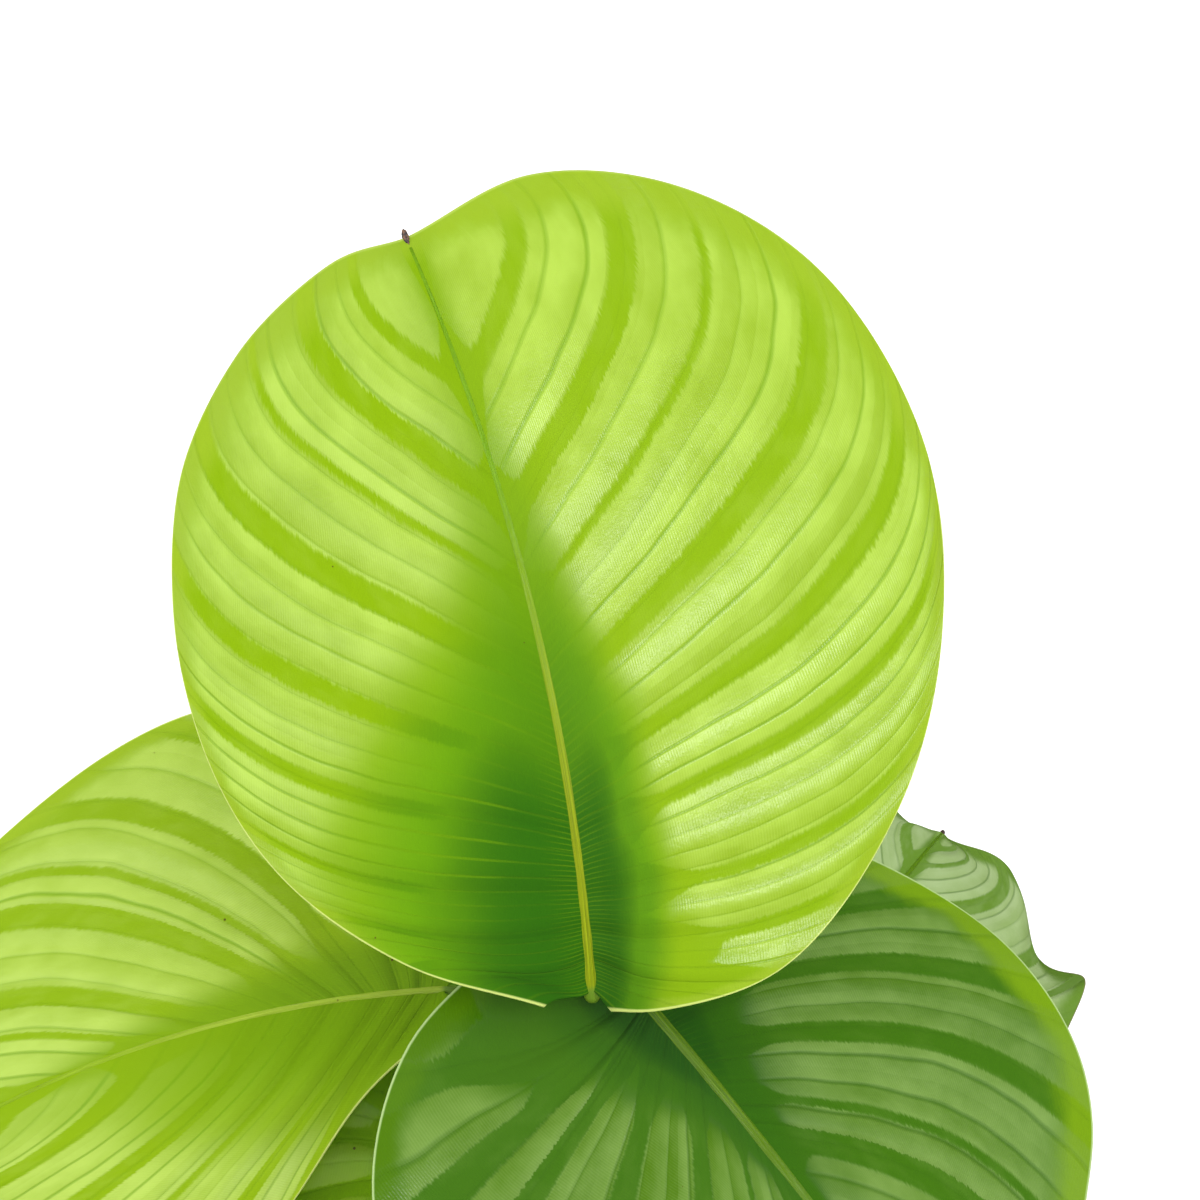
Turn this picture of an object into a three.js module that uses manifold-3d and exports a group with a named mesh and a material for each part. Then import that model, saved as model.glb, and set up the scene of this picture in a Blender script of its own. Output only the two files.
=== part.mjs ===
// A potted calathea: ten long-stalked, nearly round leaves in a plain tapered pot of soil.
// Millimetres, +Z up. The origin is the centre of the pot's flat base; -Y faces the viewer.

import * as THREE from "three";
import { mergeVertices } from "three/addons/utils/BufferGeometryUtils.js";
import Module from "manifold-3d";

const wasm = await Module();
wasm.setup();

// ---------------------------------------------------------------- driving dimensions

const POT_HEIGHT = 170;
const POT_TOP_RADIUS = 95;
const POT_BASE_RADIUS = 66;
const POT_WALL = 5;
const POT_FLOOR = 8;
const POT_RIM_HEIGHT = 22;
const POT_RIM_STEP = 3;
const POT_EDGE_ROUND = 1.5;
const POT_SIDES = 48;
const DRAIN_COUNT = 4;
const DRAIN_RADIUS = 6;
const DRAIN_RING_RADIUS = 38;
const DRAIN_SIDES = 12;

const SOIL_LEVEL = 150;
const SOIL_MOUND = 5;
const SOIL_LUMP = 1.6;
const SOIL_LUMP_PITCH_X = 30;
const SOIL_LUMP_PITCH_Y = 37;
const SOIL_SWELL_PITCH = 90;
const SOIL_RINGS = 5;
const SOIL_SIDES = 32;

const SEAT_GAP = 0.3;
const STALK_DEPTH = 36;
const STALK_HOLE_SIDES = 12;

const BLADE_THICKNESS = 0.9;
const VEIN_STEPS = 16;
const CROSS_STEPS = 4;
const VEIN_REACH = 0.36;
const PLEATS = 8;
const PLEAT_HEIGHT = 0.0032;
const VALLEY_WIDTH = 0.03;
const SHOULDER_RISE = 0.045;
const SHOULDER_FALL = 0.35;
const SHOULDER_REACH = 0.26;

const STALK_SIDES = 6;
const PETIOLE_STEPS = 12;
const MIDRIB_STEPS = 8;
const PETIOLE_FOOT_RADIUS = 4.2;
const PETIOLE_TOP_RADIUS = 2.3;
const PETIOLE_TAPER = 0.6;
const PETIOLE_COLLAR = 10;
const PETIOLE_BOW = 0.4;
const PULVINUS_RADIUS = 2.9;
const PULVINUS_LENGTH = 16;
const PULVINUS_SHARE = 0.6;
const USUAL_LEAN = 0.35;
const MIDRIB_TIP_RADIUS = 0.6;
const MIDRIB_SINK = 0.55;
const MIDRIB_REACH = 0.97;

// How fast three things die out from the basal lobe to the tip: the crowding of the veins, the
// turned-back inner edge of the lobe, and the lobe's curl.
const CROWD_POWER = 4;
const SINUS_POWER = 8;
const LOBE_POWER = 6;

const MERGE_DISTANCE = 1e-4;
const SLOPE_STEP = 0.002;
const DRILL_MARGIN = 20;

const POT_COLOR = 0xe6e1d8;
const POT_ROUGHNESS = 0.6;
const SOIL_COLOR = 0x3b2a1e;
const SOIL_ROUGHNESS = 0.95;
const LEAF_ROUGHNESS = 0.45;

// ---------------------------------------------------------------- leaf outlines
// Each outline is half a flat blade in fractions of the leaf's length: x away from the midrib,
// y along it from the stalk. Its nine points are even steps of the margin, from the basal lobe
// to the tip.

const MAIN_LEFT = [
  [0.065, 0], [0.235, 0.085], [0.37, 0.22], [0.435, 0.39], [0.44, 0.6],
  [0.38, 0.81], [0.26, 0.95], [0.11, 1.02], [0, 1.02],
];
const MAIN_RIGHT = [
  [0.02, -0.015], [0.24, 0.035], [0.41, 0.195], [0.51, 0.385], [0.55, 0.59],
  [0.5, 0.8], [0.365, 0.955], [0.185, 1.04], [0, 1.02],
];
const FRONT_LEFT = [
  [0.07, -0.13], [0.28, -0.08], [0.425, 0.085], [0.505, 0.26], [0.5, 0.43],
  [0.435, 0.565], [0.29, 0.67], [0.13, 0.79], [0, 0.86],
];
const FRONT_RIGHT = [
  [0.1, -0.15], [0.31, -0.11], [0.465, 0.02], [0.52, 0.2], [0.505, 0.37],
  [0.43, 0.53], [0.32, 0.68], [0.16, 0.8], [0, 0.86],
];
const SIDE_LEFT = [
  [0.035, -0.035], [0.143, 0.113], [0.275, 0.25], [0.37, 0.4], [0.42, 0.56],
  [0.41, 0.72], [0.33, 0.86], [0.18, 0.98], [0, 1.03],
];
const SIDE_RIGHT = [
  [0.05, -0.1], [0.27, -0.05], [0.43, 0.1], [0.505, 0.29], [0.5, 0.48],
  [0.435, 0.65], [0.33, 0.8], [0.18, 0.95], [0, 1.03],
];
const BACK_RIGHT = [
  [0.04, -0.09], [0.25, -0.05], [0.4, 0.1], [0.465, 0.29], [0.45, 0.48],
  [0.415, 0.67], [0.305, 0.82], [0.16, 0.97], [0, 1.02],
];
const PLAIN_HALF = [
  [0.04, -0.09], [0.25, -0.05], [0.4, 0.1], [0.47, 0.29], [0.46, 0.48],
  [0.4, 0.66], [0.3, 0.82], [0.15, 0.96], [0, 1.02],
];

// Angles, in degrees from the midrib, at which the veins leave it and meet the margin:
// at the basal lobe, on the way, and at the tip.
const LEAVE_USUAL = [118, 38, 30];
const ARRIVE_USUAL = [100, -30, -30];
const ARRIVE_MAIN = [117, -25, -30];

// ---------------------------------------------------------------- the leaves
// junction: where the stalk meets the blade. azimuth: heading of the midrib, 0 to the back and
// 90 to the right. rise: its climb at the stalk. roll, sweep and arch: tilt about the midrib,
// bend in the blade's plane and bend over, all in degrees. fold: the valley at the midrib, which
// dies out at foldFade. droop: how the halves curve down. lobeLift: the lobes' curl upwards.
// shoulder: how high a half swells up right beside the base of the midrib.
// wave, waves, waveTurn: height of the margin's waves, their number and where they start.
// leave, arrive: the angles above. sinusTurn: how far the inner edge of each basal lobe turns
// back. advance: how far ahead of even steps the veins meet the margin. crowd: the share of even
// spacing where they leave the midrib. foot: where the stalk stands in the soil. lean: how far
// the top of the stalk leans to the right and to the back for each millimetre that it climbs;
// where none is given, it leans the way the leaf heads. Pairs are for the left and right half.

const COMMON = {
  roll: 0, sweep: 0, arch: 24, fold: 0.2, foldFade: 1.5, droop: 0.3,
  lobeLift: [0.02, 0.02], shoulder: [0, 0], wave: 0.012, waves: 2.5, waveTurn: [0, 0.37],
  left: PLAIN_HALF, right: PLAIN_HALF, leave: [LEAVE_USUAL, LEAVE_USUAL],
  arrive: [ARRIVE_USUAL, ARRIVE_USUAL], sinusTurn: [0, 0], advance: [1.8, 1.8], crowd: 0.26,
};

const LEAVES = [
  {
    name: "leaf_main", color: 0x9cc53a, length: 218, junction: [-2.3, 19, 398], foot: [2, 26],
    azimuth: -6.5, rise: 56, sweep: -18, arch: 24, fold: 0.28, foldFade: 2, droop: 0.15,
    lobeLift: [0.03, 0.03], shoulder: [0, 0.04], wave: 0.006, left: MAIN_LEFT, right: MAIN_RIGHT,
    leave: [[130, 45, 34], [118, 52, 38]], arrive: [ARRIVE_MAIN, ARRIVE_MAIN],
    advance: [1, 1], crowd: 0.38, lean: [0, -1.4],
  },
  {
    name: "leaf_left", color: 0xa6c13f, length: 206, junction: [-46, 36, 373], foot: [-17, 22],
    azimuth: -91, rise: -4, roll: 20, sweep: -27, fold: 0.22, droop: 0.35,
    left: SIDE_LEFT, right: SIDE_RIGHT, leave: [[55, 68, 32], [122, 5, 20]],
    arrive: [[57, 38, -22], [75, -58, -50]], sinusTurn: [0, 66], advance: [1.9, 2.3], crowd: 0.28,
  },
  {
    name: "leaf_front_right", color: 0x4f8a2c, length: 210, junction: [8.8, 28.6, 386.3],
    foot: [15, 10], azimuth: 138, rise: -14, fold: 0.22, droop: 0.35, lobeLift: [0, 0],
    left: FRONT_LEFT, right: FRONT_RIGHT, leave: [[130, 50, 32], [98, 16, 21]],
    arrive: [[120, -17, -36], [77, -30, -29]], sinusTurn: [0, 106], advance: [1.5, 2.1], crowd: 0.2,
  },
  {
    name: "leaf_right_back", color: 0x7fa35c, length: 165, junction: [64, 60, 320],
    foot: [21, 28], azimuth: 34, rise: -6, roll: -14, arch: 38, droop: 0.2,
    right: BACK_RIGHT, wave: 0.055, waves: 3, waveTurn: [-0.12, 0.58],
    arrive: [ARRIVE_USUAL, [100, -40, -60]],
  },
  {
    name: "leaf_front_left", color: 0x6f9a1c, length: 185, junction: [-34, 8, 342],
    foot: [-16, 2], azimuth: 205, rise: -15,
  },
  {
    name: "leaf_back_left", color: 0x5f9330, length: 185, junction: [-36, 62, 256],
    foot: [-12, 38], azimuth: -50, rise: 8,
  },
  {
    name: "leaf_back", color: 0x659a36, length: 185, junction: [0, 84, 290],
    foot: [6, 44], azimuth: 0, rise: 6,
  },
  {
    name: "leaf_right_low", color: 0x558c2f, length: 170, junction: [60, 4, 214],
    foot: [33, 6], azimuth: 90, rise: -2,
  },
  {
    name: "leaf_front_low", color: 0x4b8129, length: 180, junction: [4, -46, 272],
    foot: [2, -12], azimuth: 172, rise: -12,
  },
  {
    name: "leaf_left_low", color: 0x5b912f, length: 175, junction: [-60, 24, 240],
    foot: [-32, 22], azimuth: -94, rise: -8,
  },
].map((leaf) => ({ ...COMMON, ...leaf }));

// ---------------------------------------------------------------- shape of a blade

const radians = THREE.MathUtils.degToRad;

function between(values, t) {
  return values[0] * (1 - t) ** 2 + 2 * values[1] * t * (1 - t) + values[2] * t * t;
}

// The share of the midrib at which vein a starts: crowded at the stalk, open towards the tip.
function veinStart(leaf, a) {
  return leaf.crowd * a + (1 - leaf.crowd) * a ** CROWD_POWER;
}

// The share of the margin's way at which vein a ends.
function veinEnd(leaf, half, a) {
  return 1 - (1 - a) ** leaf.advance[half];
}

// A smooth curve through the outline's points, at the given share of its way.
function marginPoint(outline, share) {
  const last = outline.length - 1;
  const place = Math.min(Math.max(share, 0), 1) * last;
  const i = Math.min(Math.floor(place), last - 1);
  const t = place - i;
  const coordinate = (k) => {
    const p1 = outline[i][k];
    const p2 = outline[i + 1][k];
    const p0 = i > 0 ? outline[i - 1][k] : 2 * p1 - p2;
    const p3 = i < last - 1 ? outline[i + 2][k] : 2 * p2 - p1;
    const square = 2 * p0 - 5 * p1 + 4 * p2 - p3;
    const cube = -p0 + 3 * p1 - 3 * p2 + p3;
    return 0.5 * (2 * p1 + (p2 - p0) * t + square * t ** 2 + cube * t ** 3);
  };
  return [coordinate(0), coordinate(1)];
}

// Vein a (0 at the basal lobe, 1 at the tip), at the share b of its way from midrib to margin,
// on the flat blade. side is -1 on the left half and 1 on the right.
function flatPoint(leaf, side, a, b) {
  const half = side < 0 ? 0 : 1;
  const outline = side < 0 ? leaf.left : leaf.right;
  const tip = outline[outline.length - 1][1];
  const start = veinStart(leaf, a) * tip;
  const [mx, my] = marginPoint(outline, veinEnd(leaf, half, a));
  const reach = VEIN_REACH * Math.hypot(mx, my - start);
  const leave = radians(between(leaf.leave[half], a));
  const sinus = leaf.sinusTurn[half] * (1 - a) ** SINUS_POWER;
  const arrive = radians(between(leaf.arrive[half], a) + sinus);
  const w0 = (1 - b) ** 3;
  const w1 = 3 * b * (1 - b) ** 2;
  const w2 = 3 * b * b * (1 - b);
  const w3 = b ** 3;
  const x = w1 * reach * Math.sin(leave) + w2 * (mx - reach * Math.sin(arrive)) + w3 * mx;
  const y = w0 * start + w1 * (start + reach * Math.cos(leave))
    + w2 * (my - reach * Math.cos(arrive)) + w3 * my;
  return [side * x, y];
}

// Relief of the blade in lengths: pleats along the veins, waves of the margin, raised lobes.
function relief(leaf, side, a, b) {
  const half = side < 0 ? 0 : 1;
  const pleat = PLEAT_HEIGHT * Math.cos(2 * Math.PI * PLEATS * a) * 4 * b * (1 - b) * (1 - a ** LOBE_POWER);
  const end = veinEnd(leaf, half, a);
  const turn = leaf.waves * end + leaf.waveTurn[half];
  const calm = Math.sqrt(Math.max(4 * end * (1 - end), 0));
  const wave = leaf.wave * b ** 3 * Math.sin(2 * Math.PI * turn) * calm;
  const lift = leaf.lobeLift[half] * (1 - end) ** LOBE_POWER * b * b;
  return pleat + wave + lift;
}

// Bends the flat point (x, y), raised by lift, into the leaf's place in the plant.
function bentPoint(leaf, x, y, lift) {
  const along = Math.max(y, 0);
  const behind = Math.min(y, 0);
  const valley = Math.hypot(x, VALLEY_WIDTH) - VALLEY_WIDTH;
  const swelling = (1 - Math.exp(-((x / SHOULDER_RISE) ** 2))) * Math.exp(-((x / SHOULDER_FALL) ** 2));
  const shoulder = leaf.shoulder[x < 0 ? 0 : 1] * swelling * Math.exp(-((y / SHOULDER_REACH) ** 2));
  const height = leaf.fold * valley * Math.exp(-leaf.foldFade * along) + shoulder
    - leaf.droop * x * x + lift;
  const sweep = radians(leaf.sweep);
  const swept = sweep * along;
  const midX = sweep === 0 ? 0 : (1 - Math.cos(swept)) / sweep;
  const midY = sweep === 0 ? y : Math.sin(swept) / sweep + behind;
  const sideways = midX + x * Math.cos(swept);
  const forward = midY - x * Math.sin(swept);
  const arch = radians(leaf.arch);
  const turned = arch * Math.max(forward, 0);
  const out = Math.sin(turned) / arch + Math.min(forward, 0) + height * Math.sin(turned);
  const up = (Math.cos(turned) - 1) / arch + height * Math.cos(turned);
  return leaf.origin.clone()
    .addScaledVector(leaf.sideAxis, sideways * leaf.length)
    .addScaledVector(leaf.ahead, out * leaf.length)
    .addScaledVector(leaf.normal, up * leaf.length);
}

function setAxes(leaf) {
  const heading = radians(leaf.azimuth);
  const rise = radians(leaf.rise);
  const roll = radians(leaf.roll);
  const ahead = new THREE.Vector3(
    Math.sin(heading) * Math.cos(rise), Math.cos(heading) * Math.cos(rise), Math.sin(rise));
  const level = new THREE.Vector3(
    -Math.sin(heading) * Math.sin(rise), -Math.cos(heading) * Math.sin(rise), Math.cos(rise));
  const across = new THREE.Vector3().crossVectors(ahead, level);
  leaf.origin = new THREE.Vector3(...leaf.junction);
  leaf.ahead = ahead;
  leaf.sideAxis = across.clone().multiplyScalar(Math.cos(roll)).addScaledVector(level, Math.sin(roll));
  leaf.normal = level.clone().multiplyScalar(Math.cos(roll)).addScaledVector(across, -Math.sin(roll));
}

// A point of the blade's middle sheet, and the direction its upper face looks.
function bladePoint(leaf, side, a, b) {
  const [x, y] = flatPoint(leaf, side, a, b);
  const lift = relief(leaf, side, a, b);
  const point = bentPoint(leaf, x, y, lift);
  const alongX = bentPoint(leaf, x + SLOPE_STEP, y, lift).sub(bentPoint(leaf, x - SLOPE_STEP, y, lift));
  const alongY = bentPoint(leaf, x, y + SLOPE_STEP, lift).sub(point);
  return { point, normal: alongX.cross(alongY).normalize() };
}

// ---------------------------------------------------------------- solids

function toManifold(geometry) {
  const plain = geometry.clone();
  plain.deleteAttribute("normal");
  plain.deleteAttribute("uv");
  const merged = mergeVertices(plain, MERGE_DISTANCE);
  return new wasm.Manifold(new wasm.Mesh({
    numProp: 3,
    vertProperties: merged.attributes.position.array,
    triVerts: new Uint32Array(merged.index.array),
  }));
}

function toGeometry(solid) {
  const mesh = solid.getMesh();
  const geometry = new THREE.BufferGeometry();
  geometry.setAttribute("position", new THREE.BufferAttribute(new Float32Array(mesh.vertProperties), 3));
  geometry.setIndex(new THREE.BufferAttribute(new Uint32Array(mesh.triVerts), 1));
  geometry.computeVertexNormals();
  return geometry;
}

function geometryFrom(points, triangles) {
  const geometry = new THREE.BufferGeometry();
  geometry.setAttribute("position", new THREE.Float32BufferAttribute(points.flatMap((p) => p.toArray()), 3));
  geometry.setIndex(triangles.flat());
  return geometry;
}

// A closed sheet: the same triangles on the upper and the lower face, and a wall at the edge.
function thickSheet(points, normals, triangles) {
  const half = BLADE_THICKNESS / 2;
  const upper = points.map((p, i) => p.clone().addScaledVector(normals[i], half));
  const lower = points.map((p, i) => p.clone().addScaledVector(normals[i], -half));
  const count = points.length;
  const faces = [];
  const edges = new Set();
  for (const [i, j, k] of triangles) {
    faces.push([i, j, k], [i + count, k + count, j + count]);
    edges.add(`${i},${j}`).add(`${j},${k}`).add(`${k},${i}`);
  }
  for (const edge of edges) {
    const [i, j] = edge.split(",").map(Number);
    if (!edges.has(`${j},${i}`)) {
      faces.push([j, i, i + count], [j, i + count, j + count]);
    }
  }
  return geometryFrom([...upper, ...lower], faces);
}

function bladeGeometry(leaf) {
  const points = [];
  const normals = [];
  const triangles = [];
  const numbers = new Map();
  const vertex = (side, i, j) => {
    const atTip = i === VEIN_STEPS;
    const key = atTip ? "tip" : j === 0 ? `rib ${i}` : `${side} ${i} ${j}`;
    if (!numbers.has(key)) {
      const { point, normal } = bladePoint(leaf, side, i / VEIN_STEPS, j / CROSS_STEPS);
      numbers.set(key, points.length);
      points.push(point);
      normals.push(normal);
    }
    return numbers.get(key);
  };
  for (const side of [-1, 1]) {
    for (let i = 0; i < VEIN_STEPS; i += 1) {
      for (let j = 0; j < CROSS_STEPS; j += 1) {
        const corners = [
          vertex(side, i, j), vertex(side, i, j + 1), vertex(side, i + 1, j + 1), vertex(side, i + 1, j),
        ];
        if (side < 0) {
          corners.reverse();
        }
        const [p, q, r, s] = corners;
        triangles.push(...[[p, q, r], [p, r, s]].filter((t) => new Set(t).size === 3));
      }
    }
  }
  return thickSheet(points, normals, triangles);
}

// A round stalk along the points, with a radius at each, closed by a flat cap at both ends.
function sweptStalk(path, radii, sides) {
  const points = [];
  const triangles = [];
  let across = new THREE.Vector3(1, 0, 0);
  path.forEach((centre, i) => {
    const before = path[Math.max(i - 1, 0)];
    const after = path[Math.min(i + 1, path.length - 1)];
    const along = after.clone().sub(before).normalize();
    across = across.clone().addScaledVector(along, -across.dot(along)).normalize();
    const beside = new THREE.Vector3().crossVectors(along, across);
    for (let k = 0; k < sides; k += 1) {
      const angle = (2 * Math.PI * k) / sides;
      points.push(centre.clone()
        .addScaledVector(across, radii[i] * Math.cos(angle))
        .addScaledVector(beside, radii[i] * Math.sin(angle)));
    }
  });
  for (let i = 0; i < path.length - 1; i += 1) {
    for (let k = 0; k < sides; k += 1) {
      const next = (k + 1) % sides;
      const p = i * sides + k;
      const q = i * sides + next;
      triangles.push([p, q, q + sides], [p, q + sides, p + sides]);
    }
  }
  const end = (path.length - 1) * sides;
  for (let k = 1; k < sides - 1; k += 1) {
    triangles.push([0, k + 1, k], [end, end + k, end + k + 1]);
  }
  return geometryFrom(points, triangles);
}

// The petiole rises straight out of the soil, leans out and bends over at the pulvinus into the
// midrib, which runs under the blade to its tip.
function stalkGeometry(leaf) {
  const [footX, footY] = leaf.foot;
  const foot = new THREE.Vector3(footX, footY, SOIL_LEVEL - STALK_DEPTH);
  const collar = new THREE.Vector3(footX, footY, SOIL_LEVEL + PETIOLE_COLLAR);
  const junction = leaf.origin.clone().addScaledVector(leaf.normal, -MIDRIB_SINK * PETIOLE_TOP_RADIUS);
  const heading = radians(leaf.azimuth);
  const usual = [USUAL_LEAN * Math.sin(heading), USUAL_LEAN * Math.cos(heading)];
  const topward = new THREE.Vector3(...(leaf.lean ?? usual), 1).normalize();
  const neck = junction.clone().addScaledVector(topward, -PULVINUS_LENGTH);
  const climb = (neck.z - collar.z) * PETIOLE_BOW;
  const petiole = new THREE.CubicBezierCurve3(
    collar,
    collar.clone().add(new THREE.Vector3(0, 0, climb)),
    neck.clone().addScaledVector(topward, -climb),
    neck);
  const path = [foot];
  const radii = [PETIOLE_FOOT_RADIUS];
  for (let i = 0; i < PETIOLE_STEPS; i += 1) {
    const t = i / PETIOLE_STEPS;
    path.push(petiole.getPoint(t));
    radii.push(THREE.MathUtils.lerp(PETIOLE_FOOT_RADIUS, PETIOLE_TOP_RADIUS, t ** PETIOLE_TAPER));
  }
  path.push(neck, neck.clone().lerp(junction, PULVINUS_SHARE));
  radii.push(PETIOLE_TOP_RADIUS, PULVINUS_RADIUS);
  const tip = leaf.left[leaf.left.length - 1][1];
  for (let i = 0; i <= MIDRIB_STEPS; i += 1) {
    const t = i / MIDRIB_STEPS;
    const radius = THREE.MathUtils.lerp(PETIOLE_TOP_RADIUS, MIDRIB_TIP_RADIUS, Math.sqrt(t));
    const rib = bentPoint(leaf, 0, t * MIDRIB_REACH * tip, 0);
    path.push(rib.addScaledVector(leaf.normal, -MIDRIB_SINK * radius));
    radii.push(radius);
  }
  return sweptStalk(path, radii, STALK_SIDES);
}

function leafGeometry(leaf) {
  return toGeometry(toManifold(bladeGeometry(leaf)).add(toManifold(stalkGeometry(leaf))));
}

// ---------------------------------------------------------------- pot and soil

function lathe(profile, sides) {
  const geometry = new THREE.LatheGeometry(profile.map(([r, z]) => new THREE.Vector2(r, z)), sides);
  return geometry.rotateX(Math.PI / 2);
}

function uprightCylinder(radius, bottom, top, x, y, sides) {
  const geometry = new THREE.CylinderGeometry(radius, radius, top - bottom, sides);
  return geometry.rotateX(Math.PI / 2).translate(x, y, (top + bottom) / 2);
}

function outerRadius(z) {
  return THREE.MathUtils.lerp(POT_BASE_RADIUS, POT_TOP_RADIUS - POT_RIM_STEP, z / POT_HEIGHT);
}

function innerRadius(z) {
  return outerRadius(z) - POT_WALL;
}

function potGeometry() {
  const rimBottom = POT_HEIGHT - POT_RIM_HEIGHT;
  const round = POT_EDGE_ROUND;
  const profile = [
    [0, 0],
    [POT_BASE_RADIUS - round, 0],
    [outerRadius(round), round],
    [outerRadius(rimBottom), rimBottom],
    [POT_TOP_RADIUS, rimBottom + POT_RIM_STEP],
    [POT_TOP_RADIUS, POT_HEIGHT - round],
    [POT_TOP_RADIUS - round, POT_HEIGHT],
    [innerRadius(POT_HEIGHT) + round, POT_HEIGHT],
    [innerRadius(POT_HEIGHT), POT_HEIGHT - round],
    [innerRadius(POT_FLOOR), POT_FLOOR],
    [0, POT_FLOOR],
  ];
  let pot = toManifold(lathe(profile, POT_SIDES));
  for (let k = 0; k < DRAIN_COUNT; k += 1) {
    const angle = (2 * Math.PI * (k + 0.5)) / DRAIN_COUNT;
    const x = DRAIN_RING_RADIUS * Math.cos(angle);
    const y = DRAIN_RING_RADIUS * Math.sin(angle);
    const drill = uprightCylinder(DRAIN_RADIUS, -POT_FLOOR, 2 * POT_FLOOR, x, y, DRAIN_SIDES);
    pot = pot.subtract(toManifold(drill));
  }
  return toGeometry(pot);
}

// Low lumps of the soil's surface, which swell and die away across the pot.
function soilLump(x, y) {
  const turn = 2 * Math.PI;
  const lumps = Math.sin(turn * (x / SOIL_LUMP_PITCH_X + 0.2)) * Math.cos((turn * y) / SOIL_LUMP_PITCH_Y);
  return SOIL_LUMP * lumps * Math.cos((turn * x) / SOIL_SWELL_PITCH);
}

function soilGeometry() {
  const bottom = POT_FLOOR + SEAT_GAP;
  const edge = SOIL_LEVEL - SOIL_MOUND;
  const profile = [[0, bottom], [innerRadius(bottom) - 2 * SEAT_GAP, bottom]];
  for (let ring = 0; ring <= SOIL_RINGS; ring += 1) {
    const out = 1 - ring / SOIL_RINGS;
    const height = edge + SOIL_MOUND * (1 - out * out);
    profile.push([out * (innerRadius(edge) - 2 * SEAT_GAP), height]);
  }
  const body = lathe(profile, SOIL_SIDES);
  const position = body.attributes.position;
  const place = new THREE.Vector3();
  for (let i = 0; i < position.count; i += 1) {
    place.fromBufferAttribute(position, i);
    if (place.z > edge + SEAT_GAP) {
      position.setZ(i, place.z + soilLump(place.x, place.y));
    }
  }
  let soil = toManifold(body);
  for (const leaf of LEAVES) {
    const [x, y] = leaf.foot;
    const radius = (PETIOLE_FOOT_RADIUS + SEAT_GAP) / Math.cos(Math.PI / STALK_HOLE_SIDES);
    const floor = SOIL_LEVEL - STALK_DEPTH - SEAT_GAP;
    const hole = uprightCylinder(radius, floor, SOIL_LEVEL + DRILL_MARGIN, x, y, STALK_HOLE_SIDES);
    soil = soil.subtract(toManifold(hole));
  }
  return toGeometry(soil);
}

// ---------------------------------------------------------------- assembly

const plant = new THREE.Group();

function addMesh(name, geometry, color, roughness) {
  const material = new THREE.MeshStandardMaterial({ color, roughness, metalness: 0 });
  const mesh = new THREE.Mesh(geometry, material);
  mesh.name = name;
  plant.add(mesh);
}

addMesh("pot", potGeometry(), POT_COLOR, POT_ROUGHNESS);
addMesh("soil", soilGeometry(), SOIL_COLOR, SOIL_ROUGHNESS);
for (const leaf of LEAVES) {
  setAxes(leaf);
  addMesh(leaf.name, leafGeometry(leaf), leaf.color, LEAF_ROUGHNESS);
}

export default plant;
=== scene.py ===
"""Looks of a potted calathea: striped, nearly round leaves on long stalks in a plain pot of soil.

Metres, +Z up. The origin is the centre of the pot's flat base and -Y faces the viewer.
"""

import logging
import math
from dataclasses import dataclass, replace
from enum import Enum
from typing import Any, Sequence, Union

import bmesh
import bpy
import numpy as np
from mathutils import Matrix, Vector, noise


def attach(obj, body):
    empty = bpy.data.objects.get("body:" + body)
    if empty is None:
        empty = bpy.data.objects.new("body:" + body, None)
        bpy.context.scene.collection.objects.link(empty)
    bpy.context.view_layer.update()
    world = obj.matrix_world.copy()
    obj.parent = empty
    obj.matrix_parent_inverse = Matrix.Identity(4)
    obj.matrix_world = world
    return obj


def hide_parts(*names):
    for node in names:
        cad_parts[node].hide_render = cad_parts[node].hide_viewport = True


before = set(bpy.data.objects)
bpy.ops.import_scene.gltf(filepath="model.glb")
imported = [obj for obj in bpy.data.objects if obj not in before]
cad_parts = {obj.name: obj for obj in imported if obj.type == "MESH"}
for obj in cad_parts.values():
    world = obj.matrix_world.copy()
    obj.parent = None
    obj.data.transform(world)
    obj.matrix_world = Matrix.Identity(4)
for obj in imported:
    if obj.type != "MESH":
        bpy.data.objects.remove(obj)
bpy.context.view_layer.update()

LOG = logging.getLogger("calathea")
MM = 0.001
BODY = "root"
MERGE_DISTANCE = 1e-6

Array = np.ndarray
Colour = tuple[float, float, float]
Socket = bpy.types.NodeSocket
Value = Union[Socket, float, Sequence[float]]
Outline = tuple[tuple[float, float], ...]
Stripes = tuple[tuple[float, float], ...]


class Side(Enum):
    """The two halves of a blade, seen from above with the tip ahead."""

    LEFT = -1
    RIGHT = 1


class Ease(Enum):
    """How a shader value runs between two limits."""

    STRAIGHT = "LINEAR"
    SMOOTH = "SMOOTHSTEP"


def srgb(red: int, green: int, blue: int) -> Colour:
    """Turns a colour in display steps of 0 to 255 into linear light.

    Args:
        red: The red step.
        green: The green step.
        blue: The blue step.

    Returns:
        The three shares of linear light.
    """
    shares = (step / 255 for step in (red, green, blue))
    return tuple(s / 12.92 if s <= 0.04045 else ((s + 0.055) / 1.055) ** 2.4 for s in shares)


# ---------------------------------------------------------------------------- shader wiring


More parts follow.
